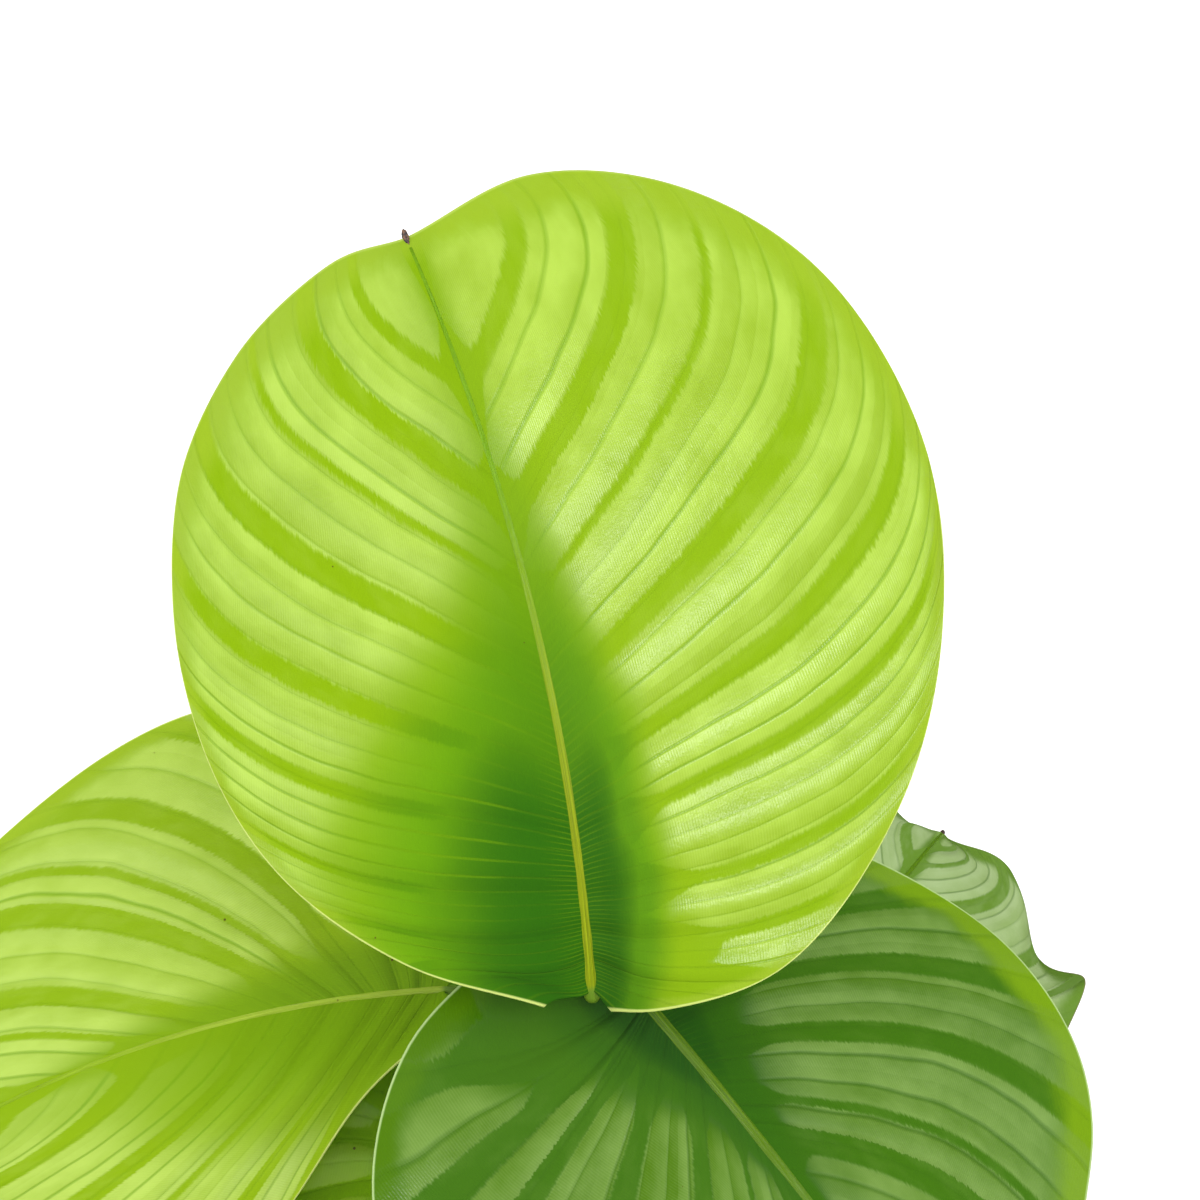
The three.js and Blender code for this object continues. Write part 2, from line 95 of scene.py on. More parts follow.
class Canvas:
    """One material's node tree, with short calls for the sums that a pattern needs."""

    def __init__(self, name: str) -> None:
        """Starts an empty material.

        Args:
            name: The material's name.
        """
        self.material = bpy.data.materials.new(name)
        self.material.use_nodes = True
        self.tree = self.material.node_tree
        self.tree.nodes.clear()
        self.place = self.add("ShaderNodeTexCoord").outputs["Object"]

    def add(self, kind: str, **settings: Any) -> bpy.types.Node:
        """Adds a node.

        Args:
            kind: Blender's name for the kind of node.
            **settings: Properties to set on it.

        Returns:
            The new node.
        """
        made = self.tree.nodes.new(kind)
        for key, value in settings.items():
            setattr(made, key, value)
        return made

    def feed(self, socket: Socket, value: Value) -> None:
        """Links a socket to another one, or gives it a plain value.

        Args:
            socket: The input to fill.
            value: An output socket, a number or a row of numbers.
        """
        if isinstance(value, bpy.types.NodeSocket):
            self.tree.links.new(value, socket)
        elif socket.type == "RGBA":
            socket.default_value = (*value, 1.0)
        else:
            socket.default_value = value

    def math(self, operation: str, *values: Value) -> Socket:
        """The result of one Math node.

        Args:
            operation: Blender's name for the sum.
            *values: Its terms.

        Returns:
            The result.
        """
        made = self.add("ShaderNodeMath", operation=operation)
        for socket, value in zip(made.inputs, values):
            self.feed(socket, value)
        return made.outputs[0]

    def times(self, *values: Value) -> Socket:
        """The product of two or more values.

        Args:
            *values: The factors.

        Returns:
            The product.
        """
        product = values[0]
        for value in values[1:]:
            product = self.math("MULTIPLY", product, value)
        return product

    def plus(self, *values: Value) -> Socket:
        """The sum of two or more values.

        Args:
            *values: The terms.

        Returns:
            The sum.
        """
        total = values[0]
        for value in values[1:]:
            total = self.math("ADD", total, value)
        return total

    def span(self, value: Value, start: Value, end: Value, low: Value = 0.0, high: Value = 1.0,
             ease: Ease = Ease.SMOOTH) -> Socket:
        """Carries a value from one range to another and holds it at the ends.

        Args:
            value: What is carried over.
            start: Where the result is low.
            end: Where the result is high.
            low: The result at start.
            high: The result at end.
            ease: How the result runs in between.

        Returns:
            The result.
        """
        made = self.add("ShaderNodeMapRange", interpolation_type=ease.value)
        for socket, term in zip(made.inputs, (value, start, end, low, high)):
            self.feed(socket, term)
        return made.outputs[0]

    def blend(self, share: Value, first: Value, second: Value) -> Socket:
        """Mixes two colours.

        Args:
            share: How much of the second is taken.
            first: The colour underneath.
            second: The colour on top.

        Returns:
            The mixed colour.
        """
        made = self.add("ShaderNodeMix", data_type="RGBA")
        self.feed(made.inputs["Factor"], share)
        self.feed(made.inputs[6], first)
        self.feed(made.inputs[7], second)
        return made.outputs[2]

    def split(self, vector: Socket) -> tuple[Socket, Socket, Socket]:
        """The three parts of a vector.

        Args:
            vector: The vector to take apart.

        Returns:
            Its x, y and z.
        """
        parts = self.add("ShaderNodeSeparateXYZ")
        self.feed(parts.inputs[0], vector)
        return parts.outputs[0], parts.outputs[1], parts.outputs[2]

    def join(self, x: Value, y: Value, z: Value = 0.0) -> Socket:
        """A vector of three values.

        Args:
            x: Its first part.
            y: Its second part.
            z: Its third part.

        Returns:
            The vector.
        """
        made = self.add("ShaderNodeCombineXYZ")
        for socket, value in zip(made.inputs, (x, y, z)):
            self.feed(socket, value)
        return made.outputs[0]

    def attribute(self, name: str) -> tuple[Socket, Socket, Socket]:
        """The three parts of a vector that the mesh carries."""
        return self.split(self.add("ShaderNodeAttribute", attribute_name=name).outputs["Vector"])

    def noise(self, scale: float, detail: float = 2.0, at: Socket | None = None) -> Socket:
        """Soft random grey about 0.5.

        Args:
            scale: Lumps to the unit of the vector that is read.
            detail: How many finer layers lie on the first.
            at: The vector that is read, or None for the place on the object.

        Returns:
            The grey level.
        """
        made = self.add("ShaderNodeTexNoise")
        self.feed(made.inputs["Vector"], at or self.place)
        self.feed(made.inputs["Scale"], scale)
        self.feed(made.inputs["Detail"], detail)
        return made.outputs["Fac"]

    def dots(self, scale: float, radius: float, share: float) -> Socket:
        """Small scattered spots.

        Args:
            scale: Cells to the metre, with at most one spot in each.
            radius: A spot's radius as a share of a cell.
            share: The share of cells that hold a spot.

        Returns:
            1 in a spot and 0 elsewhere.
        """
        cells = self.add("ShaderNodeTexVoronoi")
        self.feed(cells.inputs["Vector"], self.place)
        self.feed(cells.inputs["Scale"], scale)
        luck = self.split(cells.outputs["Color"])[0]
        size = self.times(self.span(luck, 0.0, share, 1.0, 0.0, Ease.STRAIGHT), radius)
        return self.math("LESS_THAN", cells.outputs["Distance"], size)

    def curve(self, value: Socket, stops: Stripes) -> Socket:
        """A line of straight stretches through the given stops.

        Args:
            value: Where on the line to read, from 0 to 1.
            stops: Places with the level at each, in order.

        Returns:
            The level.
        """
        made = self.add("ShaderNodeValToRGB")
        self.feed(made.inputs[0], value)
        band = made.color_ramp
        while len(band.elements) > 1:
            band.elements.remove(band.elements[-1])
        band.elements[0].position = stops[0][0]
        band.elements[0].color = (stops[0][1],) * 3 + (1.0,)
        for place, level in stops[1:]:
            band.elements.new(place).color = (level,) * 3 + (1.0,)
        return made.outputs[0]

    def finish(self, colour: Value, roughness: Value, height: Value | None = None, depth: float = 0.0,
               shine: float = 0.5, through: tuple[float, Value] | None = None) -> bpy.types.Material:
        """Ends the tree in one surface.

        Args:
            colour: The surface's colour.
            roughness: Its roughness.
            height: Relief, or None for a plain surface.
            depth: Metres of relief for one unit of height.
            shine: How strongly it mirrors.
            through: The share of light let through and its colour, or None for a solid.

        Returns:
            The finished material.
        """
        body = self.add("ShaderNodeBsdfPrincipled")
        self.feed(body.inputs["Base Color"], colour)
        self.feed(body.inputs["Roughness"], roughness)
        self.feed(body.inputs["Specular IOR Level"], shine)
        surface = body.outputs[0]
        if height is not None:
            bump = self.add("ShaderNodeBump")
            self.feed(bump.inputs["Strength"], 1.0)
            self.feed(bump.inputs["Distance"], depth)
            self.feed(bump.inputs["Height"], height)
            self.feed(body.inputs["Normal"], bump.outputs[0])
        if through is not None:
            glow = self.add("ShaderNodeBsdfTranslucent")
            self.feed(glow.inputs["Color"], through[1])
            both = self.add("ShaderNodeMixShader")
            self.feed(both.inputs[0], through[0])
            self.feed(both.inputs[1], surface)
            self.feed(both.inputs[2], glow.outputs[0])
            surface = both.outputs[0]
        out = self.add("ShaderNodeOutputMaterial")
        self.feed(out.inputs["Surface"], surface)
        return self.material


# ---------------------------------------------------------------------------- finishes


STUDIO_LIGHT = 1.3

# Lumps to the metre in a blade's pattern, the hatching's radians to the metre, and how far
# apart the two halves read their noise.
CLOUD_SCALE = 60.0
DRIFT_SCALE = 24.0
TOOTH_SCALE = 1300.0
STREAK_SCALE = 80.0
PORE_SCALE = 420.0
GRAIN_SCALE = 1500.0
SPECK_SCALE = 95.0
HATCH_TURN = 7900.0
HALF_SHIFT = 9.0


def own_colour(red: int, green: int, blue: int) -> Colour:
    """A surface's own colour, of the one that shows where white paper is just white.

    Args:
        red: The red step of the shown colour.
        green: The green step.
        blue: The blue step.

    Returns:
        The three shares of linear light that the surface throws back in this studio.
    """
    return tuple(share / STUDIO_LIGHT for share in srgb(red, green, blue))


@dataclass(frozen=True)
class BladeFinish:
    """The colours and stripes of one kind of blade.

    Stripes are (place, width) along the family of veins, 0 at the basal lobe and 1 at the tip.
    Borders are (place, width) too: the plain zone along the margin, in shares of broadest. So
    are begin, where the pale bands start from the midrib, in shares of farthest, and the
    flush_and_shade about the midrib, in shares of flush_and_shade_reach, where all turns to fresh
    green and then to deep: partly the blade's own darker green and partly painted shade of the
    valley along the midrib and of a shaded lower half. flush_and_shade is that change's strength,
    and dull is how much rougher the stripes and that darker zone are.
    margin_fade is how far the right half's margin turns to the stripes' colour, contrast how
    clearly the pale bands stand out, through the share of light let through, and secondary the
    number of thin veins in a half.
    """

    name: str
    slot: str
    pale: Colour
    pale_shade: Colour
    stripe: Colour
    margin: Colour
    fresh: Colour
    deep: Colour
    rim: Colour
    vein: Colour
    left: Stripes
    right: Stripes
    border_left: Stripes = ((0.0, 0.2), (0.5, 0.3), (0.9, 0.3))
    border_right: Stripes = ((0.0, 0.2), (0.5, 0.3), (0.9, 0.3))
    broadest: float = 25 * MM
    begin: Stripes = ((0.0, 1.0), (0.12, 0.85), (0.2, 0.36), (0.4, 0.24), (0.6, 0.12), (0.8, 0.05),
                      (1.0, 0.02))
    farthest: float = 50 * MM
    taper: float = 20 * MM
    flush_and_shade_left: Stripes = ((0.0, 0.5), (0.3, 0.36), (0.5, 0.2), (0.75, 0.07), (1.0, 0.04))
    flush_and_shade_right: Stripes = ((0.0, 0.4), (0.3, 0.34), (0.5, 0.2), (0.75, 0.07), (1.0, 0.04))
    flush_and_shade_reach: float = 100 * MM
    speck: Colour = own_colour(88, 60, 20)
    roughness: float = 0.32
    dull: float = 0.55
    flush_and_shade: float = 1.0
    margin_fade: float = 0.0
    contrast: float = 1.0
    through: float = 0.2
    shine: float = 0.1
    secondary: int = 20

    def underside(self) -> "BladeFinish":
        """The same blade seen from below.

        Returns:
            The paler and duller finish.
        """
        grey = own_colour(176, 196, 140)

        def fade(colour: Colour, share: float) -> Colour:
            """Mixes a share of grey into a colour."""
            return tuple(c + (g - c) * share for c, g in zip(colour, grey))

        return replace(
            self, name=f"{self.name}_underside", pale=fade(self.pale, 0.35),
            pale_shade=fade(self.pale_shade, 0.35), stripe=fade(self.stripe, 0.45),
            margin=fade(self.margin, 0.4), fresh=fade(self.fresh, 0.4), deep=fade(self.deep, 0.4),
            roughness=0.5, contrast=0.6, flush_and_shade=0.4, shine=0.06)

    def levels(self, stripes: Stripes) -> Stripes:
        """The height of the stripes over the family of veins.

        Args:
            stripes: The stripes of one half.

        Returns:
            Stops with 1 over each stripe and 0 half-way between two.
        """
        stops = [(0.0, 0.3)]
        last = 0.0
        for place, width in stripes:
            stops.append(((last + place) / 2, 0.0))
            stops.append((place - width / 2, 1.0))
            stops.append((place + width / 2, 1.0))
            last = place
        stops.append(((last + 1) / 2, 0.2))
        stops.append((1.0, 1.0))
        return tuple(stops)

    def material(self) -> bpy.types.Material:
        """Wires the blade's material.

        Returns:
            The material, which reads the attributes vein and blade of the mesh.
        """
        c = Canvas(self.name)
        a, across, along = c.attribute("vein")
        edge = c.attribute("blade")[2]
        right = c.math("GREATER_THAN", across, 0.0)

        def by_half(at: Socket, left_stops: Stripes, right_stops: Stripes) -> Socket:
            """Reads the curve of the half that is shaded."""
            return c.blend(right, c.curve(at, left_stops), c.curve(at, right_stops))

        family = c.times(a, float(self.secondary))
        cloud, drift = c.noise(CLOUD_SCALE, 4.0), c.noise(DRIFT_SCALE, 2.0)
        wander = c.plus(drift, -0.5)
        lower = c.span(a, 0.45, 0.95, 1.0, 0.15)

        # The green stripes, with teeth under a millimetre apart and slow drift over the blade.
        # They run together towards the midrib, which leaves pale fingers between them.
        teeth = c.noise(1.0, 1.0, c.join(c.times(along, TOOTH_SCALE), family, c.times(right, HALF_SHIFT)))
        smooth_a = c.plus(a, c.times(wander, 0.014))
        torn = c.plus(smooth_a, c.times(c.plus(teeth, -0.5), 0.009))
        levels = (self.levels(self.left), self.levels(self.right))
        begin = c.times(c.curve(a, self.begin), self.farthest)
        full = c.plus(begin, c.span(a, 0.3, 0.9, self.taper, 0.35 * self.taper))
        bar = c.span(along, c.plus(begin, -4 * MM), full, 0.0, 0.96)
        stripe = c.span(c.math("SUBTRACT", by_half(torn, *levels), bar), -0.08, 0.04)

        # The plain zone along the margin, with a ragged inner edge.
        wide = c.times(by_half(a, self.border_left, self.border_right), self.broadest)
        ragged = c.plus(edge, c.times(c.plus(cloud, -0.5), 12 * MM), c.times(c.plus(teeth, -0.5), 3 * MM))
        border = c.span(ragged, c.times(wide, 0.35), c.plus(wide, 2 * MM), 1.0, 0.0)

        # Thin secondary veins, of uneven strength. One side of each band between them is darker: painted
        # shade, as if the blade were pleated, with a random tone for each band; the same ramp also tilts the
        # relief a little.
        count = c.plus(family, c.times(wander, 0.5))
        phase = c.math("FRACT", count)
        luck = c.add("ShaderNodeTexWhiteNoise", noise_dimensions="2D")
        c.feed(luck.inputs["Vector"], c.join(c.math("FLOOR", count), right))
        chance = luck.outputs["Value"]
        calm = c.span(a, 0.86, 0.95, 1.0, 0.0)
        line = c.times(c.span(c.math("ABSOLUTE", c.plus(phase, -0.5)), 0.02, 0.11, 1.0, 0.0),
                       c.span(chance, 0.1, 0.8, 0.25, 1.0), calm)
        shaded = c.times(c.plus(c.times(c.plus(c.math("FRACT", c.plus(count, 0.5)), -0.5), 0.7),
                                c.times(c.plus(chance, -0.5), 0.5)), calm)
        hatch = c.math("SINE", c.plus(c.times(along, HATCH_TURN), c.times(drift, 30.0)))

        # Green below and pale fingers on top, with mottling that runs along the veins.
        streak = c.noise(1.0, 3.0, c.join(c.times(along, STREAK_SCALE), c.times(family, 1.3),
                                          c.times(right, HALF_SHIFT)))
        margin = c.blend(c.times(right, self.margin_fade), self.margin, self.stripe)
        green = c.blend(border, self.stripe, margin)
        # The pale bands' tone carries that painted pleat shade, with hatching and random mottling.
        tone = c.plus(0.5, c.times(shaded, 0.8), c.times(hatch, 0.12), c.times(c.plus(cloud, -0.5), 1.1),
                      c.times(c.plus(streak, -0.5), 0.9))
        pale = c.blend(c.span(tone, 0.0, 1.0, ease=Ease.STRAIGHT), self.pale_shade, self.pale)
        faint = c.times(stripe, c.span(streak, 0.3, 0.6, 0.8, 1.0))
        open_ = c.times(c.math("SUBTRACT", 1.0, faint), c.math("SUBTRACT", 1.0, border),
                        c.span(along, begin, full, 0.0, 1.0), self.contrast)

        # About the midrib all turns first to fresh and then to deep green, the stripes most. This is partly
        # the blade's own darker green and partly painted shade of the valley along the midrib and of a shaded
        # lower half.
        reach = c.times(by_half(a, self.flush_and_shade_left, self.flush_and_shade_right), self.flush_and_shade_reach)
        flush_and_shade = c.times(c.span(c.plus(along, c.times(cloud, -6 * MM)), c.times(reach, 0.1), reach, 1.0, 0.0),
                        c.times(lower, self.flush_and_shade))
        core_reach = c.span(right, 0.0, 1.0, 40 * MM, 26 * MM)
        core = c.times(c.span(along, 0.0, core_reach, 0.7 * self.flush_and_shade, 0.0), lower)
        striped = c.times(stripe, c.span(flush_and_shade, 0.1, 0.6, 0.0, 0.3))
        colour = c.blend(open_, green, c.blend(c.span(flush_and_shade, 0.0, 0.35, 0.0, 0.8), pale, self.stripe))
        colour = c.blend(c.span(flush_and_shade, 0.1, 0.7, 0.0, 0.95), colour, self.fresh)
        darkest = c.math("MAXIMUM", c.math("MAXIMUM", c.span(flush_and_shade, 0.6, 1.05), core), striped)
        colour = c.blend(darkest, colour, self.deep)
        colour = c.blend(c.times(line, c.plus(0.15, c.times(open_, 0.4))), colour, self.vein)

        # Fine pale veins cross the deep green at the midrib. The margin ends in a thin rim, on most blades a
        # painted bright edge of light shining through it, which fades towards the tip.
        fine = c.math("ABSOLUTE", c.plus(c.math("FRACT", c.times(count, 2.6)), -0.5))
        feather = c.times(c.span(fine, 0.03, 0.16, 1.0, 0.0), c.span(along, 1.5 * MM, 12 * MM, 0.3, 0.0),
                          c.span(a, 0.3, 0.8, 1.0, 0.2))
        colour = c.blend(feather, colour, self.stripe)
        colour = c.blend(c.times(c.span(edge, 0.3 * MM, MM, 0.9, 0.0), c.span(a, 0.5, 0.75, 1.0, 0.35)),
                         colour, self.rim)
        colour = c.blend(c.times(c.dots(SPECK_SCALE, 0.05, 0.35), 0.85), colour, self.speck)

        sunk = by_half(smooth_a, *levels)
        dull = c.math("MAXIMUM", stripe, c.span(flush_and_shade, 0.1, 0.45))
        rough = c.plus(self.roughness, c.times(c.plus(cloud, -0.5), 0.12), c.times(dull, self.dull),
                       c.span(right, 0.0, 1.0, 0.16, 0.0))
        height = c.plus(c.times(hatch, 0.012), c.times(line, -0.12),
                        c.times(c.noise(PORE_SCALE, 3.0), 0.10), c.times(c.noise(GRAIN_SCALE, 2.0), 0.05),
                        c.times(cloud, 0.35), c.times(sunk, sunk, -0.75), c.times(shaded, 0.10))
        glow = c.blend(0.35, colour, own_colour(206, 236, 10))
        return c.finish(colour, rough, height, MM, self.shine, (self.through, glow))


GREEN_LEFT: Stripes = ((0.12, 0.03), (0.24, 0.035), (0.37, 0.03), (0.5, 0.035), (0.62, 0.01), (0.72, 0.035),
                       (0.86, 0.03))
GREEN_RIGHT: Stripes = ((0.1, 0.03), (0.22, 0.03), (0.34, 0.035), (0.47, 0.03), (0.6, 0.035), (0.72, 0.01),
                        (0.83, 0.03))

LIME = BladeFinish(
    "blade_lime", "leaf_lime", pale=own_colour(192, 226, 86), pale_shade=own_colour(160, 195, 44),
    stripe=own_colour(146, 187, 0), margin=own_colour(162, 196, 38), fresh=own_colour(108, 166, 0),
    deep=own_colour(44, 110, 0), rim=own_colour(232, 246, 140), vein=own_colour(120, 170, 0),
    left=((0.1, 0.02), (0.21, 0.018), (0.325, 0.016), (0.455, 0.018), (0.565, 0.02), (0.685, 0.024),
          (0.775, 0.005), (0.845, 0.022), (0.915, 0.012)),
    right=((0.1, 0.02), (0.2, 0.018), (0.31, 0.016), (0.455, 0.016), (0.555, 0.02), (0.665, 0.022),
           (0.765, 0.005), (0.83, 0.02), (0.915, 0.014)),
    border_left=((0.0, 0.2), (0.4, 0.45), (0.6, 0.75), (0.75, 0.9), (0.88, 0.6), (1.0, 0.2)),
    border_right=((0.0, 0.25), (0.2, 0.45), (0.38, 0.85), (0.6, 0.95), (0.75, 0.9), (0.88, 0.6), (1.0, 0.3)),
    # The left half darkens far out from the midrib: partly its own deeper green, partly painted shade over
    # its shaded lower part.
    flush_and_shade_left=((0.0, 1.0), (0.2, 1.0), (0.35, 0.98), (0.45, 0.9), (0.6, 0.7), (0.75, 0.4), (1.0, 0.1)),
    flush_and_shade_right=((0.0, 0.2), (0.15, 0.26), (0.3, 0.32), (0.45, 0.3), (0.6, 0.34), (0.75, 0.24), (1.0, 0.1)),
    secondary=32)
YELLOW_GREEN = replace(
    LIME, name="blade_yellow_green", slot="leaf_yellow_green", pale=own_colour(200, 230, 100),
    pale_shade=own_colour(172, 205, 66), stripe=own_colour(150, 188, 12), margin=own_colour(164, 198, 36),
    fresh=own_colour(126, 170, 0), deep=own_colour(110, 154, 0), flush_and_shade=0.6, secondary=20,
    flush_and_shade_right=((0.0, 0.3), (0.3, 0.3), (0.6, 0.3), (1.0, 0.2)),
    flush_and_shade_left=((0.0, 0.7), (0.3, 0.8), (0.6, 0.8), (1.0, 0.3)),
    left=((0.13, 0.03), (0.27, 0.04), (0.45, 0.01), (0.58, 0.035), (0.74, 0.035), (0.87, 0.03)),
    right=((0.12, 0.03), (0.22, 0.02), (0.34, 0.035), (0.44, 0.01), (0.51, 0.035), (0.66, 0.035),
           (0.74, 0.01), (0.86, 0.03)))
SILVER = BladeFinish(
    "blade_silver_banded", "leaf_silver_banded", pale=own_colour(122, 158, 70),
    pale_shade=own_colour(80, 124, 8), stripe=own_colour(62, 112, 0), margin=own_colour(116, 156, 2),
    fresh=own_colour(60, 112, 0), deep=own_colour(30, 84, 0), rim=own_colour(190, 218, 144),
    vein=own_colour(54, 104, 0),
    border_left=((0.0, 0.3), (0.3, 0.8), (0.9, 0.8)), border_right=((0.0, 0.4), (0.4, 0.8), (0.9, 0.5)),
    margin_fade=0.75,
    left=((0.12, 0.03), (0.22, 0.03), (0.34, 0.035), (0.485, 0.035), (0.615, 0.01), (0.678, 0.035),
          (0.83, 0.03)),
    right=((0.08, 0.02), (0.163, 0.03), (0.23, 0.03), (0.351, 0.035), (0.506, 0.035), (0.621, 0.008),
           (0.72, 0.03), (0.86, 0.03)),
    through=0.08)
GREY_GREEN = replace(
    SILVER, name="blade_grey_green", slot="leaf_grey_green", pale=own_colour(176, 200, 140),
    pale_shade=own_colour(150, 178, 106), stripe=own_colour(100, 140, 36), margin=own_colour(122, 156, 70),
    fresh=own_colour(110, 150, 56), deep=own_colour(92, 134, 40), rim=own_colour(138, 130, 96),
    vein=own_colour(92, 128, 52), flush_and_shade=0.45,
    left=GREEN_LEFT, right=((0.12, 0.03), (0.26, 0.03), (0.4, 0.03), (0.53, 0.035), (0.72, 0.04),
                            (0.87, 0.01), (0.93, 0.02)))
OLIVE = replace(
    LIME, name="blade_olive", slot="leaf_olive", pale=own_colour(180, 220, 56),
    pale_shade=own_colour(160, 206, 24), stripe=own_colour(136, 188, 0), margin=own_colour(158, 206, 2),
    fresh=own_colour(140, 192, 0), deep=own_colour(132, 186, 0), rim=own_colour(196, 226, 80),
    vein=own_colour(132, 180, 0),
    left=GREEN_LEFT, right=GREEN_RIGHT, through=0.16, secondary=20, roughness=0.6, contrast=0.7)
GREEN = replace(
    SILVER, name="blade_green", slot="leaf_green", pale=own_colour(150, 188, 92),
    pale_shade=own_colour(118, 162, 58), stripe=own_colour(78, 136, 8), margin=own_colour(116, 164, 24),
    fresh=own_colour(76, 134, 4), deep=own_colour(50, 108, 2), left=GREEN_LEFT, right=GREEN_RIGHT)


@dataclass(frozen=True)
class StalkFinish:
    """The finish of petiole and midrib: a green, lengthwise ribbed stalk with its own upper face.

    line_scale is how many fine lines each half of the stalk has and how often they change in a
    metre of its length. fleck_scale and grain_scale are spots and lumps to the metre.
    """

    name: str
    rib: Colour
    rib_shade: Colour
    rib_tip: Colour
    foot: Colour = own_colour(120, 96, 58)
    green: Colour = own_colour(124, 160, 44)
    green_shade: Colour = own_colour(96, 134, 28)
    fleck: Colour = own_colour(96, 70, 12)
    line_scale: float = 26.0
    fleck_scale: float = 420.0
    grain_scale: float = 900.0

    def material(self) -> bpy.types.Material:
        """Wires the stalk's material.

        Returns:
            The material, which reads the attribute stalk of the mesh: the turn about the
            stalk, the metres from the soil and the share of the midrib.
        """
        c = Canvas(self.name)
        turn, climb, rib = c.attribute("stalk")
        lines = c.noise(1.0, 3.0, c.join(c.times(turn, self.line_scale), c.times(climb, self.line_scale)))
        shade = c.span(lines, 0.35, 0.65)
        green = c.blend(shade, self.green_shade, self.green)
        green = c.blend(c.span(climb, 0.0, 50 * MM, 0.85, 0.0), green, self.foot)
        top = c.blend(shade, self.rib_shade, self.rib)
        top = c.blend(c.span(rib, 0.15, 0.75), top, self.rib_tip)
        colour = c.blend(c.span(rib, 0.0, 0.01), green, top)
        colour = c.blend(c.times(c.dots(self.fleck_scale, 0.16, 0.16), 0.7), colour, self.fleck)
        height = c.plus(c.times(lines, 0.3), c.times(c.noise(self.grain_scale, 2.0), 0.05))
        return c.finish(colour, c.plus(0.34, c.times(lines, 0.12)), height, MM, 0.1)


OLIVE_STALK = StalkFinish("stalk_olive", own_colour(164, 180, 12), own_colour(122, 138, 4),
                          own_colour(122, 172, 0))
PALE_STALK = StalkFinish("stalk_pale", own_colour(188, 210, 72), own_colour(150, 184, 34),
                         own_colour(146, 184, 16))
GREEN_STALK = StalkFinish("stalk_green", own_colour(102, 138, 8), own_colour(72, 110, 0),
                          own_colour(96, 138, 10))


@dataclass(frozen=True)
class DriedFinish:
    """Dry brown tissue at the very tip of a leaf."""

    name: str = "tip_dried"
    dark: Colour = srgb(44, 20, 12)
    light: Colour = srgb(128, 88, 52)
    grain_scale: float = 1500.0
    relief: float = 0.3 * MM

    def material(self) -> bpy.types.Material:
        """Wires the material of a dried tip.

        Returns:
            The material.
        """
        c = Canvas(self.name)
        grain = c.noise(self.grain_scale, 4.0)
        colour = c.blend(c.span(grain, 0.45, 0.7), self.dark, self.light)
        return c.finish(colour, c.plus(0.6, c.times(grain, 0.3)), grain, self.relief)


@dataclass(frozen=True)
class PotFinish:
    """Off-white matt glaze with fine iron specks over throwing lines.

    The soil's stain on the inner wall dies out between the heights stain_from and stain_to.
    Scales are lumps, lines or spots to the metre.
    """

    name: str = "pot_glaze"
    glaze: Colour = own_colour(228, 222, 210)
    shade: Colour = own_colour(208, 200, 186)
    worn: Colour = own_colour(186, 168, 144)
    iron: Colour = own_colour(120, 98, 78)
    soil: Colour = own_colour(92, 70, 52)
    stain_from: float = 154 * MM
    stain_to: float = 162 * MM
    cloud_scale: float = 22.0
    line_scale: float = 900.0
    speck_scale: float = 520.0
    blot_scale: float = 150.0
    grit_scale: float = 700.0

    def material(self, pot: "Pot") -> bpy.types.Material:
        """Wires the material of the pot.

        Args:
            pot: The pot, whose soil line stains the inside of its wall.

        Returns:
            The material.
        """
        c = Canvas(self.name)
        x, y, z = c.split(c.place)
        cloud = c.noise(self.cloud_scale, 4.0)
        rings = c.noise(1.0, 3.0, c.join(c.times(z, self.line_scale), c.times(cloud, 1.4)))
        colour = c.blend(c.span(c.plus(c.times(cloud, 0.7), c.times(rings, 0.3)), 0.35, 0.65),
                         self.shade, self.glaze)
        colour = c.blend(c.times(c.dots(self.speck_scale, 0.24, 0.22), 0.65), colour, self.iron)
        colour = c.blend(c.times(c.dots(self.blot_scale, 0.11, 0.2), 0.8), colour, self.iron)
        foot = c.span(c.plus(z, c.times(cloud, 4 * MM)), 2.5 * MM, 4.5 * MM, 1.0, 0.0)
        colour = c.blend(foot, colour, self.worn)
        out = c.math("SQRT", c.plus(c.times(x, x), c.times(y, y)))
        slope = (pot.outer(pot.height) - pot.base_radius) / pot.height
        skin = c.plus(out, c.times(z, -slope), -pot.base_radius)
        level = c.plus(z, c.times(cloud, 12 * MM))
        inside = c.times(c.span(skin, -0.8 * pot.wall, -0.5 * pot.wall, 1.0, 0.0),
                         c.span(level, self.stain_from, self.stain_to, 0.75, 0.0),
                         c.span(z, 0.5 * pot.floor, pot.floor))
        colour = c.blend(inside, colour, self.soil)
        rough = c.plus(0.42, c.times(cloud, 0.16), c.times(foot, 0.3))
        height = c.plus(c.times(rings, 0.16), c.times(c.noise(self.grit_scale, 3.0), 0.06))
        return c.finish(colour, rough, height, MM)


@dataclass(frozen=True)
class SoilFinish:
    """Dark, crumbly potting soil, or the loose grains that lie on it."""

    name: str
    dark: Colour
    light: Colour
    lump: float = 260.0
    roughness: float = 0.92
    fibre_scale: float = 90.0
    dust_scale: float = 1400.0
    relief: float = 1.2 * MM

    def material(self) -> bpy.types.Material:
        """Wires the material of the soil or its grains.

        Returns:
            The material.
        """
        c = Canvas(self.name)
        crumbs = c.noise(self.lump, 5.0)
        fibre = c.noise(self.fibre_scale, 3.0)
        colour = c.blend(c.span(c.plus(c.times(crumbs, 0.75), c.times(fibre, 0.25)), 0.36, 0.66),
                         self.dark, self.light)
        height = c.plus(crumbs, c.times(c.noise(self.dust_scale, 3.0), 0.4))
        return c.finish(colour, self.roughness, height, self.relief)


SOIL = SoilFinish("soil_dark", srgb(30, 20, 14), srgb(84, 60, 42))
BARK = SoilFinish("grain_bark", srgb(58, 36, 22), srgb(120, 84, 56), lump=700.0)
PERLITE = SoilFinish("grain_perlite", srgb(214, 210, 200), srgb(242, 240, 234), lump=900.0, roughness=0.85)


# ---------------------------------------------------------------------------- meshes


